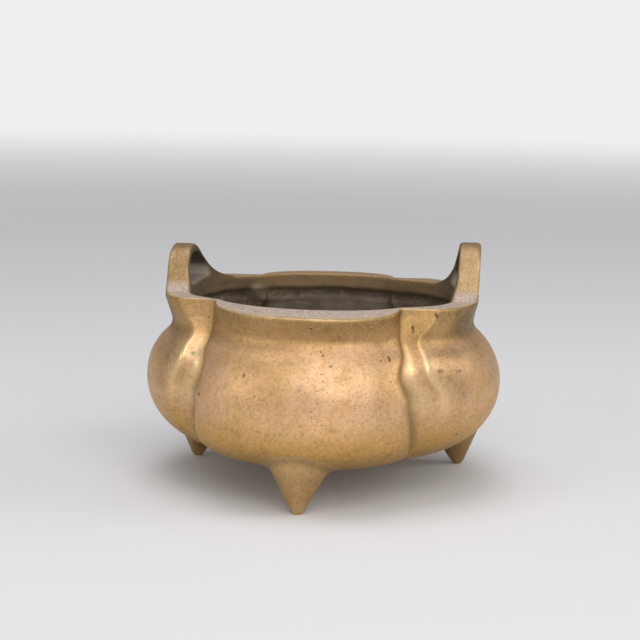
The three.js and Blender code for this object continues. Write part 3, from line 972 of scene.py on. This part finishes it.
@dataclass(frozen=True)
class Bowl(Piece):
    """The bowl: one closed skin from the middle of the underside over the rim to the middle of the floor."""

    node = "bowl"
    finish = Finish.BOWL
    form: BowlForm
    lobe_columns: int = 36
    flute_columns: int = 22
    side_columns: int = 34
    lump: Point = (-32.4, 41.0, 66.4)
    lump_size: float = 5.0
    lump_rise: float = 1.7
    lump_rough: float = 1.6
    grains: Tuple[Tuple[float, float, int], ...] = ((0.5, 8.0, 1), (0.3, 3.2, 2), (0.14, 1.7, 3))
    ridge: float = 0.75
    ridge_width: float = 0.13
    hollow: float = 0.7
    notch: float = 0.6
    notch_width: float = 0.22
    lobe_widths: float = 3.8
    crease_band: Band = (18.0, 32.0, 57.0, 66.0)
    slant_band: Band = (22.0, 38.0, 52.0, 66.0)
    slant: float = 1.7
    slant_azimuth: float = 47.0
    slant_reach: float = 13.0

    def ring(self) -> Array:
        """Places round the ring, with the columns of each part of a quarter set evenly in it.

        Returns:
            Numbers from 0 to 12.
        """
        parts = (self.lobe_columns, self.flute_columns, self.side_columns)
        quarter = np.concatenate([start + np.arange(count) / count for start, count in enumerate(parts)])
        half = np.concatenate([quarter, 6.0 - np.append(quarter[1:], 3.0)[::-1]])
        return np.concatenate([half, 6.0 + half])

    def from_lump(self, points: Array) -> Array:
        """Distance from the middle of the lump of old ash, in millimetres."""
        return np.linalg.norm(points - np.array(self.lump), axis=-1)

    def shape(self) -> Shape:
        """The skin on rows of the profile and columns of the ring, the inside roughened as cast.

        Below the collar each place moves inward by three noises of different grain, and by a lump of old ash
        that fades with the square of the distance from its middle.

        Returns:
            The painted surface.
        """
        outer, inner = self.form.outer(), self.form.inner()
        profile = np.concatenate([outer, inner[1:]])
        place = self.ring()[None, :]
        radius, height, cut = profile[:, 0:1], profile[:, 1:2], profile[:, 2:3]
        points = self.form.place(place, radius + 0 * place, height + 0 * place, cut)
        rows = np.arange(len(profile))[:, None]
        outside, inside = rows < len(outer), rows >= len(outer) + 12
        top = self.form.plan.rim_height - 2.0
        depth = ramp(height, top, top - 5.0) * inside * ease(radius / 12.0)
        rough = sum(share * value_noise(points, grain, seed) for share, grain, seed in self.grains)
        points = self.folded(points, place, height, outside)
        lump = held(1.0 - (self.from_lump(points) / self.lump_size) ** 2)
        rough = rough * (1.0 + self.lump_rough * lump) + self.lump_rise * lump
        points = points - radial(points, 0.25) * (rough * depth)[..., None]
        return Shape(points, self.paint(points, place, profile, len(outer)))

    def quarter(self, place: Array) -> Array:
        """Position in a quarter, from 0 amid the front or back lobe to 3 amid a side lobe."""
        half = np.minimum(np.mod(place, 12.0), 12.0 - np.mod(place, 12.0))
        return np.minimum(half, 6.0 - half)

    def from_groove(self, quarter: Array) -> Array:
        """Distance from the groove in widths of a flute, alike on the lobe and on the flute."""
        lobe = self.lobe_widths * (1.0 - np.sin(quarter * QUARTER_TURN))
        return np.where(quarter < 1.0, lobe, quarter - 1.0)

    def folded(self, points: Array, place: Array, height: Array, outside: Array) -> Array:
        """Crisper grooves on the shoulder, the front right one turned further round.

        A bell curve lifts the arris, a squared sine sinks the flute and another bell curve the groove. The
        turn is a bell curve of the azimuth.

        Args:
            points: places.
            place: positions round the ring.
            height: heights of the rows.
            outside: true for the rows of the outside.

        Returns:
            The moved places.
        """
        quarter = self.quarter(place)
        ridge = self.ridge * bell(quarter - 2.0, self.ridge_width)
        hollow = self.hollow * np.sin(math.pi * held(quarter - 1.0)) ** 2
        notch = self.notch * bell(self.from_groove(quarter), self.notch_width)
        share = band(height, *self.crease_band) * outside
        points = points + radial(points, 0.0) * ((ridge - hollow - notch) * share)[..., None]
        x, y = points[..., 0], points[..., 1]
        azimuth = np.degrees(np.arctan2(x, -y))
        share = band(height, *self.slant_band) * outside
        turn = np.radians(self.slant * share * bell(azimuth - self.slant_azimuth, self.slant_reach))
        cos, sin = np.cos(turn), np.sin(turn)
        return together(x * cos - y * sin, x * sin + y * cos, points[..., 2])

    def paint(self, points: Array, place: Array, profile: Array, outer_rows: int) -> Dict[str, Array]:
        """Numbers for the finish: soot, ash, a worn lip, dirt, rosy and olive skin, and painted light and
        shade: highlights along the arrises and flutes, shade in the grooves, on the necks and towards the
        underside, a rosier upper belly and front, and the rim's flat top as a grey painted reflection.

        Each is a product of ramps over the height and the way down from the rim, of bell curves round the
        grooves, arrises, flutes and lip, and of two noises.

        Args:
            points: places.
            place: positions round the ring.
            profile: radii and heights of the rows.
            outer_rows: how many rows of the profile are on the outside.

        Returns:
            The numbers by name.
        """
        radius, height = profile[:, 0:1], profile[:, 1:2]
        down = self.form.plan.rim_height - height
        past_lip = np.arange(len(height))[:, None] - outer_rows
        inside, outside = past_lip >= 0, past_lip < 0
        speck, patch = speckle(points, 5.0, 4), speckle(points, 14.0, 5)
        quarter = self.quarter(place)
        groove = self.from_groove(quarter)
        forward = np.cos(np.mod(place, 12.0) * math.pi / 6.0)
        x, y = points[..., 0], points[..., 1]

        sides = 0.2 * ramp(np.abs(x), 34.0, 46.0)
        soot = (0.72 + sides) * ramp(down, -0.2, 1.2) + (0.28 - sides) * ramp(down, 4.6, 7.0)
        soot = inside * soot * (0.86 + 0.14 * speck)

        under_handles = (np.abs(x) > 40.0) & (y > -18.5) & (y < 31.0)
        lip = bell(past_lip + 2.0, 1.6) * ~under_handles * (0.45 + 0.55 * speck)
        # Painted highlights: a bright line along each arris and a bright band down each flute.
        edge_wear_and_highlight = np.maximum(0.85 * bell(quarter - 1.98, 0.065), 0.62 * bell(quarter - 1.38, 0.23))
        edge_wear_and_highlight = edge_wear_and_highlight * band(height, 33.0, 41.0, 57.0, 65.0) * outside * (0.6 + 0.4 * patch)

        # Dirt and painted shade along the outer grooves, heavier below the waist.
        groove_grime_and_shade = bell(groove, 0.26) * ramp(height, 17.0, 25.0) * outside
        groove_grime_and_shade = groove_grime_and_shade * (0.26 + 0.44 * ramp(height, 66.0, 58.0))
        # Dirt and painted shade in the inner grooves below the collar.
        inner_groove_grime_and_shade = bell(groove, 0.3) * ramp(down, 3.0, 6.0) * ramp(height, 50.0, 62.0) * inside
        # Dirt and painted shade, darker towards the underside outside, and a painted shadow line in the
        # undercut under the collar inside.
        underside = self.form.plan.underside_height
        recess_grime_and_shade = 0.5 * ramp(height, underside + 10.0, underside) * outside
        recess_grime_and_shade = recess_grime_and_shade + 0.9 * bell(past_lip - 20.0, 2.6) * inside

        # The rim's flat top: a grey painted reflection, stronger at the front.
        top = ((past_lip >= -1) & (down < 0.3)) * (1.0 - 0.6 * ramp(radius, 57.8, 59.2))
        top = np.maximum(top, inside * ramp(down, 1.0, 0.0) * 0.3) * (0.3 + 0.7 * ease(0.6 + forward))

        # Olive patina and painted shade on the neck, heaviest under the lip.
        collar = 0.46 * ramp(height, 58.0, 65.0) + 0.18 * ramp(height, 66.0, 72.0)
        # Painted shade on the side-lobe side of each arris.
        shade_beside_arris = bell(quarter - 2.2, 0.11) * band(height, 36.0, 44.0, 60.0, 66.0)
        # Painted shade on the necks of the side lobes, fainter at the lip.
        side_neck_shade = ramp(quarter, 2.1, 2.5) * ramp(height, 59.0, 67.0)
        side_neck_shade = side_neck_shade * (0.35 + 0.65 * ramp(height, 74.0, 69.0))
        # Olive patina and painted shade, darker towards the underside too.
        olive_patina_and_shade = (collar + 0.34 * ramp(height, 30.0, 17.0)) * (0.7 + 0.3 * patch)
        # Inside, the number on the collar keeps the ash off it.
        olive_patina_and_shade = outside * (olive_patina_and_shade + 0.3 * shade_beside_arris + 0.9 * side_neck_shade) + 0.5 * inside * ramp(down, 8.0, 6.0)

        # Rosy patina and painted light: rosier on the upper belly, and more so at the front.
        rosy_patina_and_light = outside * ramp(height, 24.0, 40.0) * (1.0 - 0.5 * ramp(height, 60.0, 64.0))
        ashes = 0.95 * ramp(height, 69.0, 62.0) * held(0.15 + patch + 0.5 * (speck - 0.5))
        lump = (0.4 + 0.9 * speck) * ramp(self.from_lump(points), 1.4 * self.lump_size, 0.4 * self.lump_size)
        rosy_patina_and_light = rosy_patina_and_light * (0.75 + 0.25 * (forward > 0.0))
        grime_and_shade = np.maximum(groove_grime_and_shade + inner_groove_grime_and_shade, recess_grime_and_shade)
        # The worn number holds the worn lip and the painted highlights.
        return {"soot": soot, "worn": np.maximum(lip, edge_wear_and_highlight), "grime_and_shade": grime_and_shade, "top": top, "olive_patina_and_shade": olive_patina_and_shade,
                "rosy_patina_and_light": rosy_patina_and_light, "dust_and_light": np.maximum(lump, ashes) * inside}


@dataclass(frozen=True)
class Foot(Piece):
    """A pointed foot that splays outward and runs into the belly by a hollow fillet."""

    finish = Finish.FOOT
    form: BowlForm
    node: str
    inset: float
    azimuth: float
    shade: float = 0.0
    tip_width: float = 3.8
    tip_round: float = 0.7
    half_angle: float = 29.0
    splay: float = 10.0
    cone_height: float = 14.0
    shank_ease: float = 7.0
    fillet_inward: float = 4.8
    fillet_outward: float = 3.0
    fillet_start: float = 0.8
    fillet_pull: float = 0.62
    seat_range: Point2 = (6.0, 27.5)
    halvings: int = 30
    buried: Tuple[Point2, ...] = ((0.7, 0.12), (1.3, 0.5), (1.2, 1.4))
    columns: int = 120

    def spoke(self, phi: Array, z: Array) -> Array:
        """Places on the cone: straight from the tip, drawing in again within the bowl, leaned inward.

        Args:
            phi: angle round the foot's own axis, 0 away from the bowl's middle.
            z: height.

        Returns:
            Coordinates in the bowl's frame.
        """
        over = np.maximum(z - self.cone_height, 0.0)
        spread = math.tan(math.radians(self.half_angle)) * (z - over * over / (2 * self.shank_ease))
        radius = self.tip_width / 2 + spread
        x = radius * np.sin(phi)
        lean = math.tan(math.radians(self.splay))
        y = self.inset - self.form.belly_radius + z * lean - radius * np.cos(phi)
        turn = math.radians(self.azimuth)
        return together(x * math.cos(turn) - y * math.sin(turn), x * math.sin(turn) + y * math.cos(turn), z)

    def seat(self, phi: Array) -> Array:
        """Height at which each spoke of the cone enters the bowl, found by halving a range of heights.

        Args:
            phi: angles of the spokes.

        Returns:
            Their heights.
        """
        low, high = (np.full_like(phi, height) for height in self.seat_range)
        for _ in range(self.halvings):
            middle = (low + high) / 2
            inside = self.form.skin(self.spoke(phi, middle)) < 0
            low, high = np.where(inside, low, middle), np.where(inside, middle, high)
        return (low + high) / 2

    def shape(self) -> Shape:
        """Rows from the worn tip up each spoke, over a cubic fillet flush with the belly, and under its skin.

        Returns:
            The painted surface.
        """
        phi = np.linspace(0.0, 2 * math.pi, self.columns, endpoint=False)
        seat = self.seat(phi)
        meet = self.spoke(phi, seat)
        reach = self.fillet_outward + (self.fillet_inward - self.fillet_outward) * (1.0 - np.cos(phi)) / 2
        start_height = seat - self.fillet_start * reach
        start = self.spoke(phi, start_height)
        climb = unit(start - self.spoke(phi, start_height - 0.2))
        away = meet - self.spoke(phi + math.pi, seat)
        away[..., 2] = 0.0
        away = unit(square_to(away, unit(self.form.slope(meet))))
        end = self.form.on_skin(meet + away * reach[:, None])
        skin = unit(self.form.slope(end))
        back = square_to(meet - end, skin)
        pull = self.fillet_pull * np.linalg.norm(meet - start, axis=-1, keepdims=True)
        t = np.linspace(0.0, 1.0, 15)[1:, None, None]
        fillet = bezier(start, start + climb * pull, end + back * self.fillet_pull, end, t)

        tip = self.tip_width / 2
        bend = np.linspace(0.0, QUARTER_TURN, 5)[:, None, None]
        shrink = (tip - self.tip_round + self.tip_round * np.sin(bend)) / tip
        axis = (self.spoke(phi, 0 * phi) + self.spoke(phi + math.pi, 0 * phi)) / 2
        worn = axis + (self.spoke(phi, 0 * phi) - axis) * shrink
        worn = worn + np.array([0.0, 0.0, 1.0]) * self.tip_round * (1.0 - np.cos(bend))
        t = np.linspace(0.0, 1.0, 26)[1:, None]
        shank = self.spoke(phi + 0 * t, self.tip_round + (start_height - self.tip_round) * t)

        buried = np.stack([end - unit(back) * a - skin * b for a, b in self.buried])
        middle = np.broadcast_to(buried[-1].mean(axis=0) + np.array([0.0, 0.0, 0.6]), (1, len(phi), 3))
        points = np.concatenate([axis[None], worn, shank, fillet, buried, middle])
        return Shape(points, self.paint(points, len(worn) + len(shank) + 1))

    def paint(self, points: Array, fillet_row: int) -> Dict[str, Union[Array, float]]:
        """Numbers for the finish: worn bright near the tip, dirt and painted shade in the fillet, and the
        foot's own painted shade all over.

        Args:
            points: places.
            fillet_row: the row at which the fillet starts.

        Returns:
            The numbers by name.
        """
        rows = np.arange(len(points))[:, None]
        speck = speckle(points, 3.0, 6)
        # Dirt and painted shade in the fillet.
        grime_and_shade = 0.55 * bell(rows - fillet_row - 6, 4.5) * (0.5 + 0.5 * speck)
        worn = 0.4 * ramp(points[..., 2], 6.0, 0.0) * speck
        # The shade field is painted shade: the rear feet are darker under the belly.
        olive_patina_and_shade = self.shade + 0.06 * speck
        return {"soot": 0.0, "worn": worn, "grime_and_shade": grime_and_shade, "top": 0.0, "olive_patina_and_shade": olive_patina_and_shade, "rosy_patina_and_light": 0.35,
                "dust_and_light": 0.0}


class Side(Enum):
    """Which side of the bowl a handle stands on."""

    RIGHT = 1.0
    LEFT = -1.0


@dataclass(frozen=True)
class Handle(Piece):
    """A loop handle: an arch that carries the wall of the rim upward round a D-shaped eye.

    Its outlines are drawn flat, across the handle from front to back and up from the rim, in millimetres.
    """

    finish = Finish.HANDLE
    form: BowlForm
    node: str
    side: Side
    rise: float
    lean: float
    shade: float = 0.0
    front_reach: float = 16.5
    front_shoulder: float = 9.5
    back_reach: float = 31.0
    back_shoulder: float = 13.5
    thickness: float = 8.4
    front_leg: float = 5.0
    back_leg: float = 11.0
    sill: float = 2.0
    band: float = 3.6
    crown: float = 5.3
    edge: float = 1.7
    root: float = 3.4
    toe_flare: float = 3.2
    toe_height: float = 4.4
    corner_flare: float = 1.6
    play: float = 0.03

    def curve(self, sign: float, controls: Sequence[Point2], t: Array) -> Array:
        """A cubic through control points across and up, on the side that the sign gives."""
        return bezier(*(np.array([sign * a, b]) for a, b in controls), t)

    def flank(self, sign: float, reach: float, shoulder: float, t: Array) -> Array:
        """Outline of one flank from its toe to the crown: a cubic up to the shoulder, then one over the top.

        Args:
            sign: -1 for the front flank and 1 for the back one.
            reach: how far the toe is from the handle's middle.
            shoulder: how far the shoulder is from it.
            t: where along the flank, 0 to 1.

        Returns:
            Points across and up.
        """
        height, spread = self.rise - self.crown, reach - shoulder
        first = self.curve(sign, (
            (reach, 0.0), (reach - 0.3 * spread, 0.15 * height), (shoulder + 0.37 * spread, 0.73 * height),
            (shoulder, height)), held(2 * t))
        second = self.curve(sign, (
            (shoulder, height), (0.83 * shoulder, height + 0.43 * self.crown), (0.5 * shoulder, self.rise),
            (0.0, self.rise)), held(2 * t - 1))
        line = np.where(t <= 0.5, first, second)
        flare = self.toe_flare * held(1.0 - line[:, 1:] / self.toe_height) ** 2
        return line + np.concatenate([sign * flare, 0 * flare], axis=-1)

    def eye(self, sign: float, width: float, t: Array) -> Array:
        """Outline of half the eye, from the end of its sill up to its top: one cubic.

        Args:
            sign: -1 for the front half and 1 for the back one.
            width: how far the sill reaches from the handle's middle.
            t: where along the outline, 0 to 1.

        Returns:
            Points across and up.
        """
        top = self.rise - self.band
        spring = self.sill + 0.75 * (top - self.sill)
        ends = (width, self.sill), (width, spring), (0.6 * width, top), (0.0, top)
        line = self.curve(sign, ends, t)
        flare = self.corner_flare * held(1.0 - (line[:, 1:] - self.sill) / self.corner_flare) ** 2
        return line - np.concatenate([sign * flare, 0 * flare], axis=-1)

    def outlines(self) -> Tuple[Array, Array]:
        """The outer outline and the eye, paired point for point once round, bottom included.

        Each toe runs on half a millimetre in its own direction, under the rim, before it turns down.

        Returns:
            Both outlines.
        """
        up = np.linspace(0.0, 1.0, 34)[:, None]
        front = self.flank(-1.0, self.front_reach, self.front_shoulder, up)
        back = self.flank(1.0, self.back_reach, self.back_shoulder, up)[::-1][1:]
        front_eye, back_eye = self.front_reach - self.front_leg, self.back_reach - self.back_leg
        inner = np.concatenate([self.eye(-1.0, front_eye, up), self.eye(1.0, back_eye, up)[::-1][1:]])
        outer = np.concatenate([front, back])
        toes = np.stack([outer[-1], outer[0]])
        sunk = toes + 0.5 * unit(toes - np.stack([outer[-2], outer[1]]))
        ends = np.array([self.back_reach, -self.root]), np.array([-self.front_reach, -self.root])
        level = ends[0] + (ends[1] - ends[0]) * np.linspace(0.0, 1.0, 14)[:, None]
        sill = straight(inner[-1], inner[0], 18)[:-1]
        return np.concatenate([outer, sunk[:1], level, sunk[1:]]), np.concatenate([inner, sill])

    def section(self, width: Array) -> Tuple[Array, Array]:
        """A rounded oblong: arcs at its four corners and evenly set points between.

        Args:
            width: its length from the eye outward, one for each place along the loop.

        Returns:
            Shares from the eye outward and from the inner face outward, rows by places along the loop.
        """
        turn = np.linspace(0.0, QUARTER_TURN, 6)
        radius = np.minimum(self.edge, 0.42 * width)[None, :]
        cos, sin = np.cos(turn)[:, None], np.sin(turn)[:, None]
        far, near, low, high = width - radius, radius, radius, self.thickness - radius
        corners = [(far + radius * cos, high + radius * sin), (near - radius * sin, high + radius * cos),
                   (near - radius * cos, low - radius * sin), (far + radius * sin, low - radius * cos)]
        across, deep = [], []
        for number, (a, b) in enumerate(corners):
            c, d = corners[(number + 1) % 4]
            across += [a, straight(a[-1:], c[:1], 6)[:-1]]
            deep += [b, straight(b[-1:], d[:1], 6)[:-1]]
        return np.concatenate(across) / width, np.concatenate(deep) / self.thickness

    def ring(self, radius: float, across: Array) -> Array:
        """Distance out from the middle of a ring on the rim's plan, at distances behind the handle's middle.

        Args:
            radius: the ring's radius.
            across: distances behind the middle.

        Returns:
            Distances out.
        """
        place = np.linspace(1.5, 4.5, 1201)
        turned = place if self.side is Side.RIGHT else 12.0 - place
        height = np.full_like(place, self.form.plan.rim_height)
        edge = self.form.place(turned, np.full_like(place, radius), height)
        return np.interp(across, edge[:, 1], np.abs(edge[:, 0]))

    def shape(self) -> Shape:
        """The loop: at each place along it a rounded oblong from the eye to the outer outline.

        Its faces lie on two rings of the rim's plan. The inner one starts flush with the collar. The outer
        one carries on down the neck below the rim's top, so that bowl and handle look cast in one.

        Returns:
            The painted surface.
        """
        outer, inner = self.outlines()
        a, b = self.section(np.linalg.norm(outer - inner, axis=-1))
        flat = inner[None] + (outer - inner)[None] * a[..., None]
        across, up = flat[..., 0], flat[..., 1]
        rim_radius, rim_height = self.form.rim_radius, self.form.plan.rim_height
        collar = self.ring(rim_radius - self.form.rim_thickness, across) - self.play
        near = self.ring(rim_radius - self.thickness, across)
        near = collar + (near - collar) * ramp(up, 1.0, 10.0)
        flare = rim_radius - self.form.neck(rim_height + np.minimum(up, -self.form.rim_round))
        far = self.ring(rim_radius, across) + self.play - flare
        x = (near + (far - near) * b + self.lean / self.rise * up) * self.side.value
        points = together(x, across, rim_height + up - 0.05)
        if self.side is Side.RIGHT:
            points, a, b, up = (grid[:, ::-1] for grid in (points, a, b, up))
        return Shape(points, self.paint(points, a, b, up), poles=False)

    def paint(self, points: Array, a: Array, b: Array, up: Array) -> Dict[str, Union[Array, float]]:
        """Numbers for the finish: wear along each edge, soot in the eye and inside, painted shade high in the
        eye, ash on the sill that also stands for painted light low in the eye, and a grey toe that carries on
        the rim top's painted reflection.

        Args:
            points: places.
            a: shares from the eye outward.
            b: shares from the inner face outward.
            up: heights over the rim.

        Returns:
            The numbers by name.
        """
        speck = speckle(points, 3.0, 8)
        edge_wear_and_highlight = bell(np.minimum(b, 1.0 - b), 0.09) * bell(np.minimum(a, 1.0 - a), 0.12)
        worn = 0.5 * edge_wear_and_highlight * (0.4 + 0.6 * speck) * ease(up / 2.0)
        sill = ramp(a, 0.35, 0.0) * ramp(up, 4.0, 0.0)
        eye = ramp(a, 0.16, 0.06) * ease(b / 0.06) * ramp(b, 1.0, 0.88)
        inner = ramp(b, 0.12, 0.02)
        soot = np.maximum(eye, 0.68 * inner * (0.85 + 0.15 * speck))
        grime_and_shade = np.maximum(0.6 * sill, 0.7 * inner * ease(up / 3.0))
        # Painted shade high in the eye.
        grime_and_shade = np.maximum(grime_and_shade, 0.95 * eye * ramp(up, 5.5, 8.5))
        # A grey toe: the rim top's painted reflection carried onto the handle, stronger at the front.
        top = (0.3 + 0.7 * ramp(points[..., 1], 8.0, -16.0)) * ramp(up, 5.0, 0.6)
        top = top * ramp(b, 0.05, 0.15) * (1.0 - 0.7 * ramp(b, 0.8, 1.0))
        # The shade field adds painted shade; the inner face gets more olive.
        olive_patina_and_shade = self.shade + 0.2 + 0.16 * speck + 0.35 * inner
        # Low in the eye, ash that also stands for painted light.
        return {"soot": soot, "worn": worn, "grime_and_shade": grime_and_shade, "top": top, "olive_patina_and_shade": olive_patina_and_shade,
                "rosy_patina_and_light": 0.8 - 0.6 * inner, "dust_and_light": 0.6 * eye * ramp(up, 7.5, 4.5)}


@dataclass(frozen=True)
class Lamp:
    """A square soft lamp that looks at the burner: its place and side in metres, and its power in watts."""

    name: str
    place: Point
    side: float
    power: float
    colour: Colour

    def make(self, target: Point) -> None:
        """Hangs it.

        Args:
            target: what it looks at.
        """
        data = bpy.data.lights.new(self.name, "AREA")
        data.shape, data.size, data.energy, data.color = "SQUARE", self.side, self.power, self.colour
        lamp = new_object(self.name, data)
        lamp.location = self.place
        lamp.rotation_euler = (Vector(self.place) - Vector(target)).to_track_quat("Z", "Y").to_euler()


@dataclass(frozen=True)
class Studio:
    """Pale floor, soft lamps, a pale world and the camera."""

    floor_colour: Colour = (0.74, 0.74, 0.75)
    floor_shade: Colour = (0.7252, 0.7252, 0.735)
    floor_patches: Mottle = Mottle(0.4, 2.0, 0.5, 31.0, 0.3, 0.7)
    floor_half: float = 9.0
    floor_fade: Tuple[float, float] = (0.3, 3.6)
    backdrop: Colour = (0.86, 0.86, 0.87)
    sky: Colour = (0.97, 0.97, 1.0)
    lamp_target: Point = (0.0, 0.0, 0.04)
    lamps: Tuple[Lamp, ...] = (
        Lamp("key_lamp", (0.4, -1.3, 0.85), 1.4, 15.0, (1.0, 0.985, 0.965)),
        Lamp("top_lamp", (-0.1, -0.1, 1.4), 0.9, 6.0, (0.97, 0.98, 1.0)),
        Lamp("left_lamp", (-1.1, -0.9, 0.45), 0.6, 3.5, (1.0, 0.99, 0.97)),
        Lamp("right_lamp", (1.35, 0.05, 0.6), 0.7, 5.0, (1.0, 0.99, 0.97)))
    camera_place: Point = (0.0591, -0.6206, 0.1603)
    camera_turn: Point = (81.092, 0.0, 5.615)
    camera_roll: float = 1.244
    lens: float = 90.0
    sensor: float = 36.0

    def floor(self) -> None:
        """A flat pale floor under the foot tips, which turns into the colour of the backdrop far away."""
        half = self.floor_half
        mesh = bpy.data.meshes.new("studio_floor")
        around = [(-half, -half, 0.0), (half, -half, 0.0), (half, half, 0.0), (-half, half, 0.0)]
        mesh.from_pydata(around, [], [range(4)])
        material = bpy.data.materials.new("pale_floor")
        bench = Bench(material)
        tint = bench.blend(self.floor_patches.on(bench), self.floor_colour, self.floor_shade)
        near = bench.add("BsdfPrincipled", {"Base Color": tint, "Roughness": 0.85})
        far = bench.add("Emission", {"Color": self.backdrop})
        away = bench.add("VectorMath", {0: bench.objects}, operation="LENGTH").outputs["Value"]
        fade = bench.add("MixShader", {
            0: bench.span(away, *self.floor_fade), 1: near.outputs["BSDF"], 2: far.outputs["Emission"]})
        bench.add("OutputMaterial", {"Surface": fade.outputs["Shader"]})
        mesh.materials.append(material)
        floor = new_object("studio_floor", mesh)

    def world(self) -> None:
        """A pale backdrop for the camera, and for the light a sky that is brighter overhead."""
        world = bpy.data.worlds.new("studio_world")
        bpy.context.scene.world = world
        bench = Bench(world)
        way = bench.add("TexCoord").outputs["Generated"]
        up = bench.add("SeparateXYZ", {"Vector": way}).outputs["Z"]
        strength = bench.add("MapRange", {
            "Value": up, "From Min": -0.1, "From Max": 0.9, "To Min": 0.22, "To Max": 0.45}).outputs["Result"]
        light = bench.add("Background", {"Color": self.sky, "Strength": strength})
        seen = bench.add("Background", {"Color": self.backdrop})
        ray = bench.add("LightPath").outputs["Is Camera Ray"]
        mix = bench.add("MixShader", {
            0: ray, 1: light.outputs["Background"], 2: seen.outputs["Background"]})
        bench.add("OutputWorld", {"Surface": mix.outputs["Shader"]})

    def camera(self) -> None:
        """The camera at the photograph's viewing angle."""
        data = bpy.data.cameras.new("studio_camera")
        data.lens, data.sensor_width = self.lens, self.sensor
        data.clip_start, data.clip_end = 0.01, 60.0
        camera = new_object("studio_camera", data)
        turn = Euler([math.radians(a) for a in self.camera_turn]).to_matrix().to_4x4()
        roll = Matrix.Rotation(math.radians(self.camera_roll), 4, "Z")
        camera.matrix_world = Matrix.Translation(self.camera_place) @ turn @ roll
        bpy.context.scene.camera = camera

    def make(self) -> None:
        """Sets up the whole studio."""
        self.floor()
        for lamp in self.lamps:
            lamp.make(self.lamp_target)
        self.world()
        self.camera()
        bpy.context.scene.view_settings.view_transform = "Standard"


def bowl_flaws() -> Tuple[Flaw, ...]:
    """Dark slits, pits and a hairline on the front of the bowl, and one pit inside at the back."""
    return (
        Flaw((36.6, -43.9, 67.2), (0.75, 1.6, 2.2), (0.0, -14.0, 0.0)),
        Flaw((45.0, -41.8, 72.2), (0.7, 1.3, 1.5), (0.0, -35.0, 0.0)),
        Flaw((28.6, -54.9, 57.9), (0.7, 1.2, 1.7), (0.0, -20.0, 0.0)),
        Flaw((5.0, -61.2, 60.0), (0.35, 2.0, 2.6), (0.0, -42.0, 0.0), 0.8),
        Flaw((6.9, -67.4, 50.7), (0.7, 0.7, 0.6), strength=0.7),
        Flaw((-22.6, -63.3, 51.6), (0.8, 0.8, 1.1), strength=0.7),
        Flaw((0.9, -60.9, 68.8), (0.6, 0.8, 0.5)),
        Flaw((46.9, -48.3, 53.1), (2.2, 2.2, 1.0), strength=0.5),
        Flaw((53.8, -41.9, 52.2), (2.0, 2.0, 1.1), strength=0.5),
        Flaw((53.4, -35.0, 26.9), (1.1, 1.1, 0.9), strength=0.8),
        Flaw((-40.5, -53.7, 42.0), (0.9, 0.9, 0.8), strength=0.8),
        Flaw((-24.2, 45.7, 67.6), (1.9, 1.9, 0.9)),
    )


def bowl_stains() -> Tuple[Flaw, ...]:
    """Greenish stains on the front of the bowl."""
    return (
        Flaw((8.6, -64.0, 56.3), (1.4, 1.4, 0.9)),
        Flaw((-44.5, -45.0, 55.5), (1.5, 1.5, 1.5)),
        Flaw((30.0, -57.0, 50.0), (3.0, 3.0, 2.0), strength=0.4),
    )


def corners(box: Sequence[Sequence[float]]) -> List[List[float]]:
    """A box of two corners as plain lists of numbers."""
    return [[float(value) for value in corner] for corner in box]


def main() -> None:
    """Builds the burner piece by piece."""
    logging.basicConfig(level=logging.INFO, format="%(message)s")
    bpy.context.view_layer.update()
    form = BowlForm()
    Studio().make()
    Bowl(form).make(CastBrass(flaws=bowl_flaws(), stains=bowl_stains()).material("bowl_cast_brass"))
    foot_brass = CastBrass(gold=(0.42, 0.265, 0.10)).material("foot_cast_brass")
    Foot(form, "front_foot", 10.6, -2.8).make(foot_brass)
    # The rear feet's shade is painted shade under the belly.
    Foot(form, "right_rear_foot", 8.0, 119.0, shade=0.42).make(foot_brass)
    Foot(form, "left_rear_foot", 10.2, -113.6, shade=0.2).make(foot_brass)
    handle_brass = CastBrass(gold=(0.44, 0.29, 0.14), rosy=(0.46, 0.31, 0.19)).material("handle_cast_brass")
    Handle(form, "right_handle", Side.RIGHT, 20.6, 0.3).make(handle_brass)
    # The left handle's shade is painted shade: it comes out darker than the right one.
    Handle(form, "left_handle", Side.LEFT, 16.8, 0.6, shade=0.2).make(handle_brass)


if __name__ == "__main__":
    main()
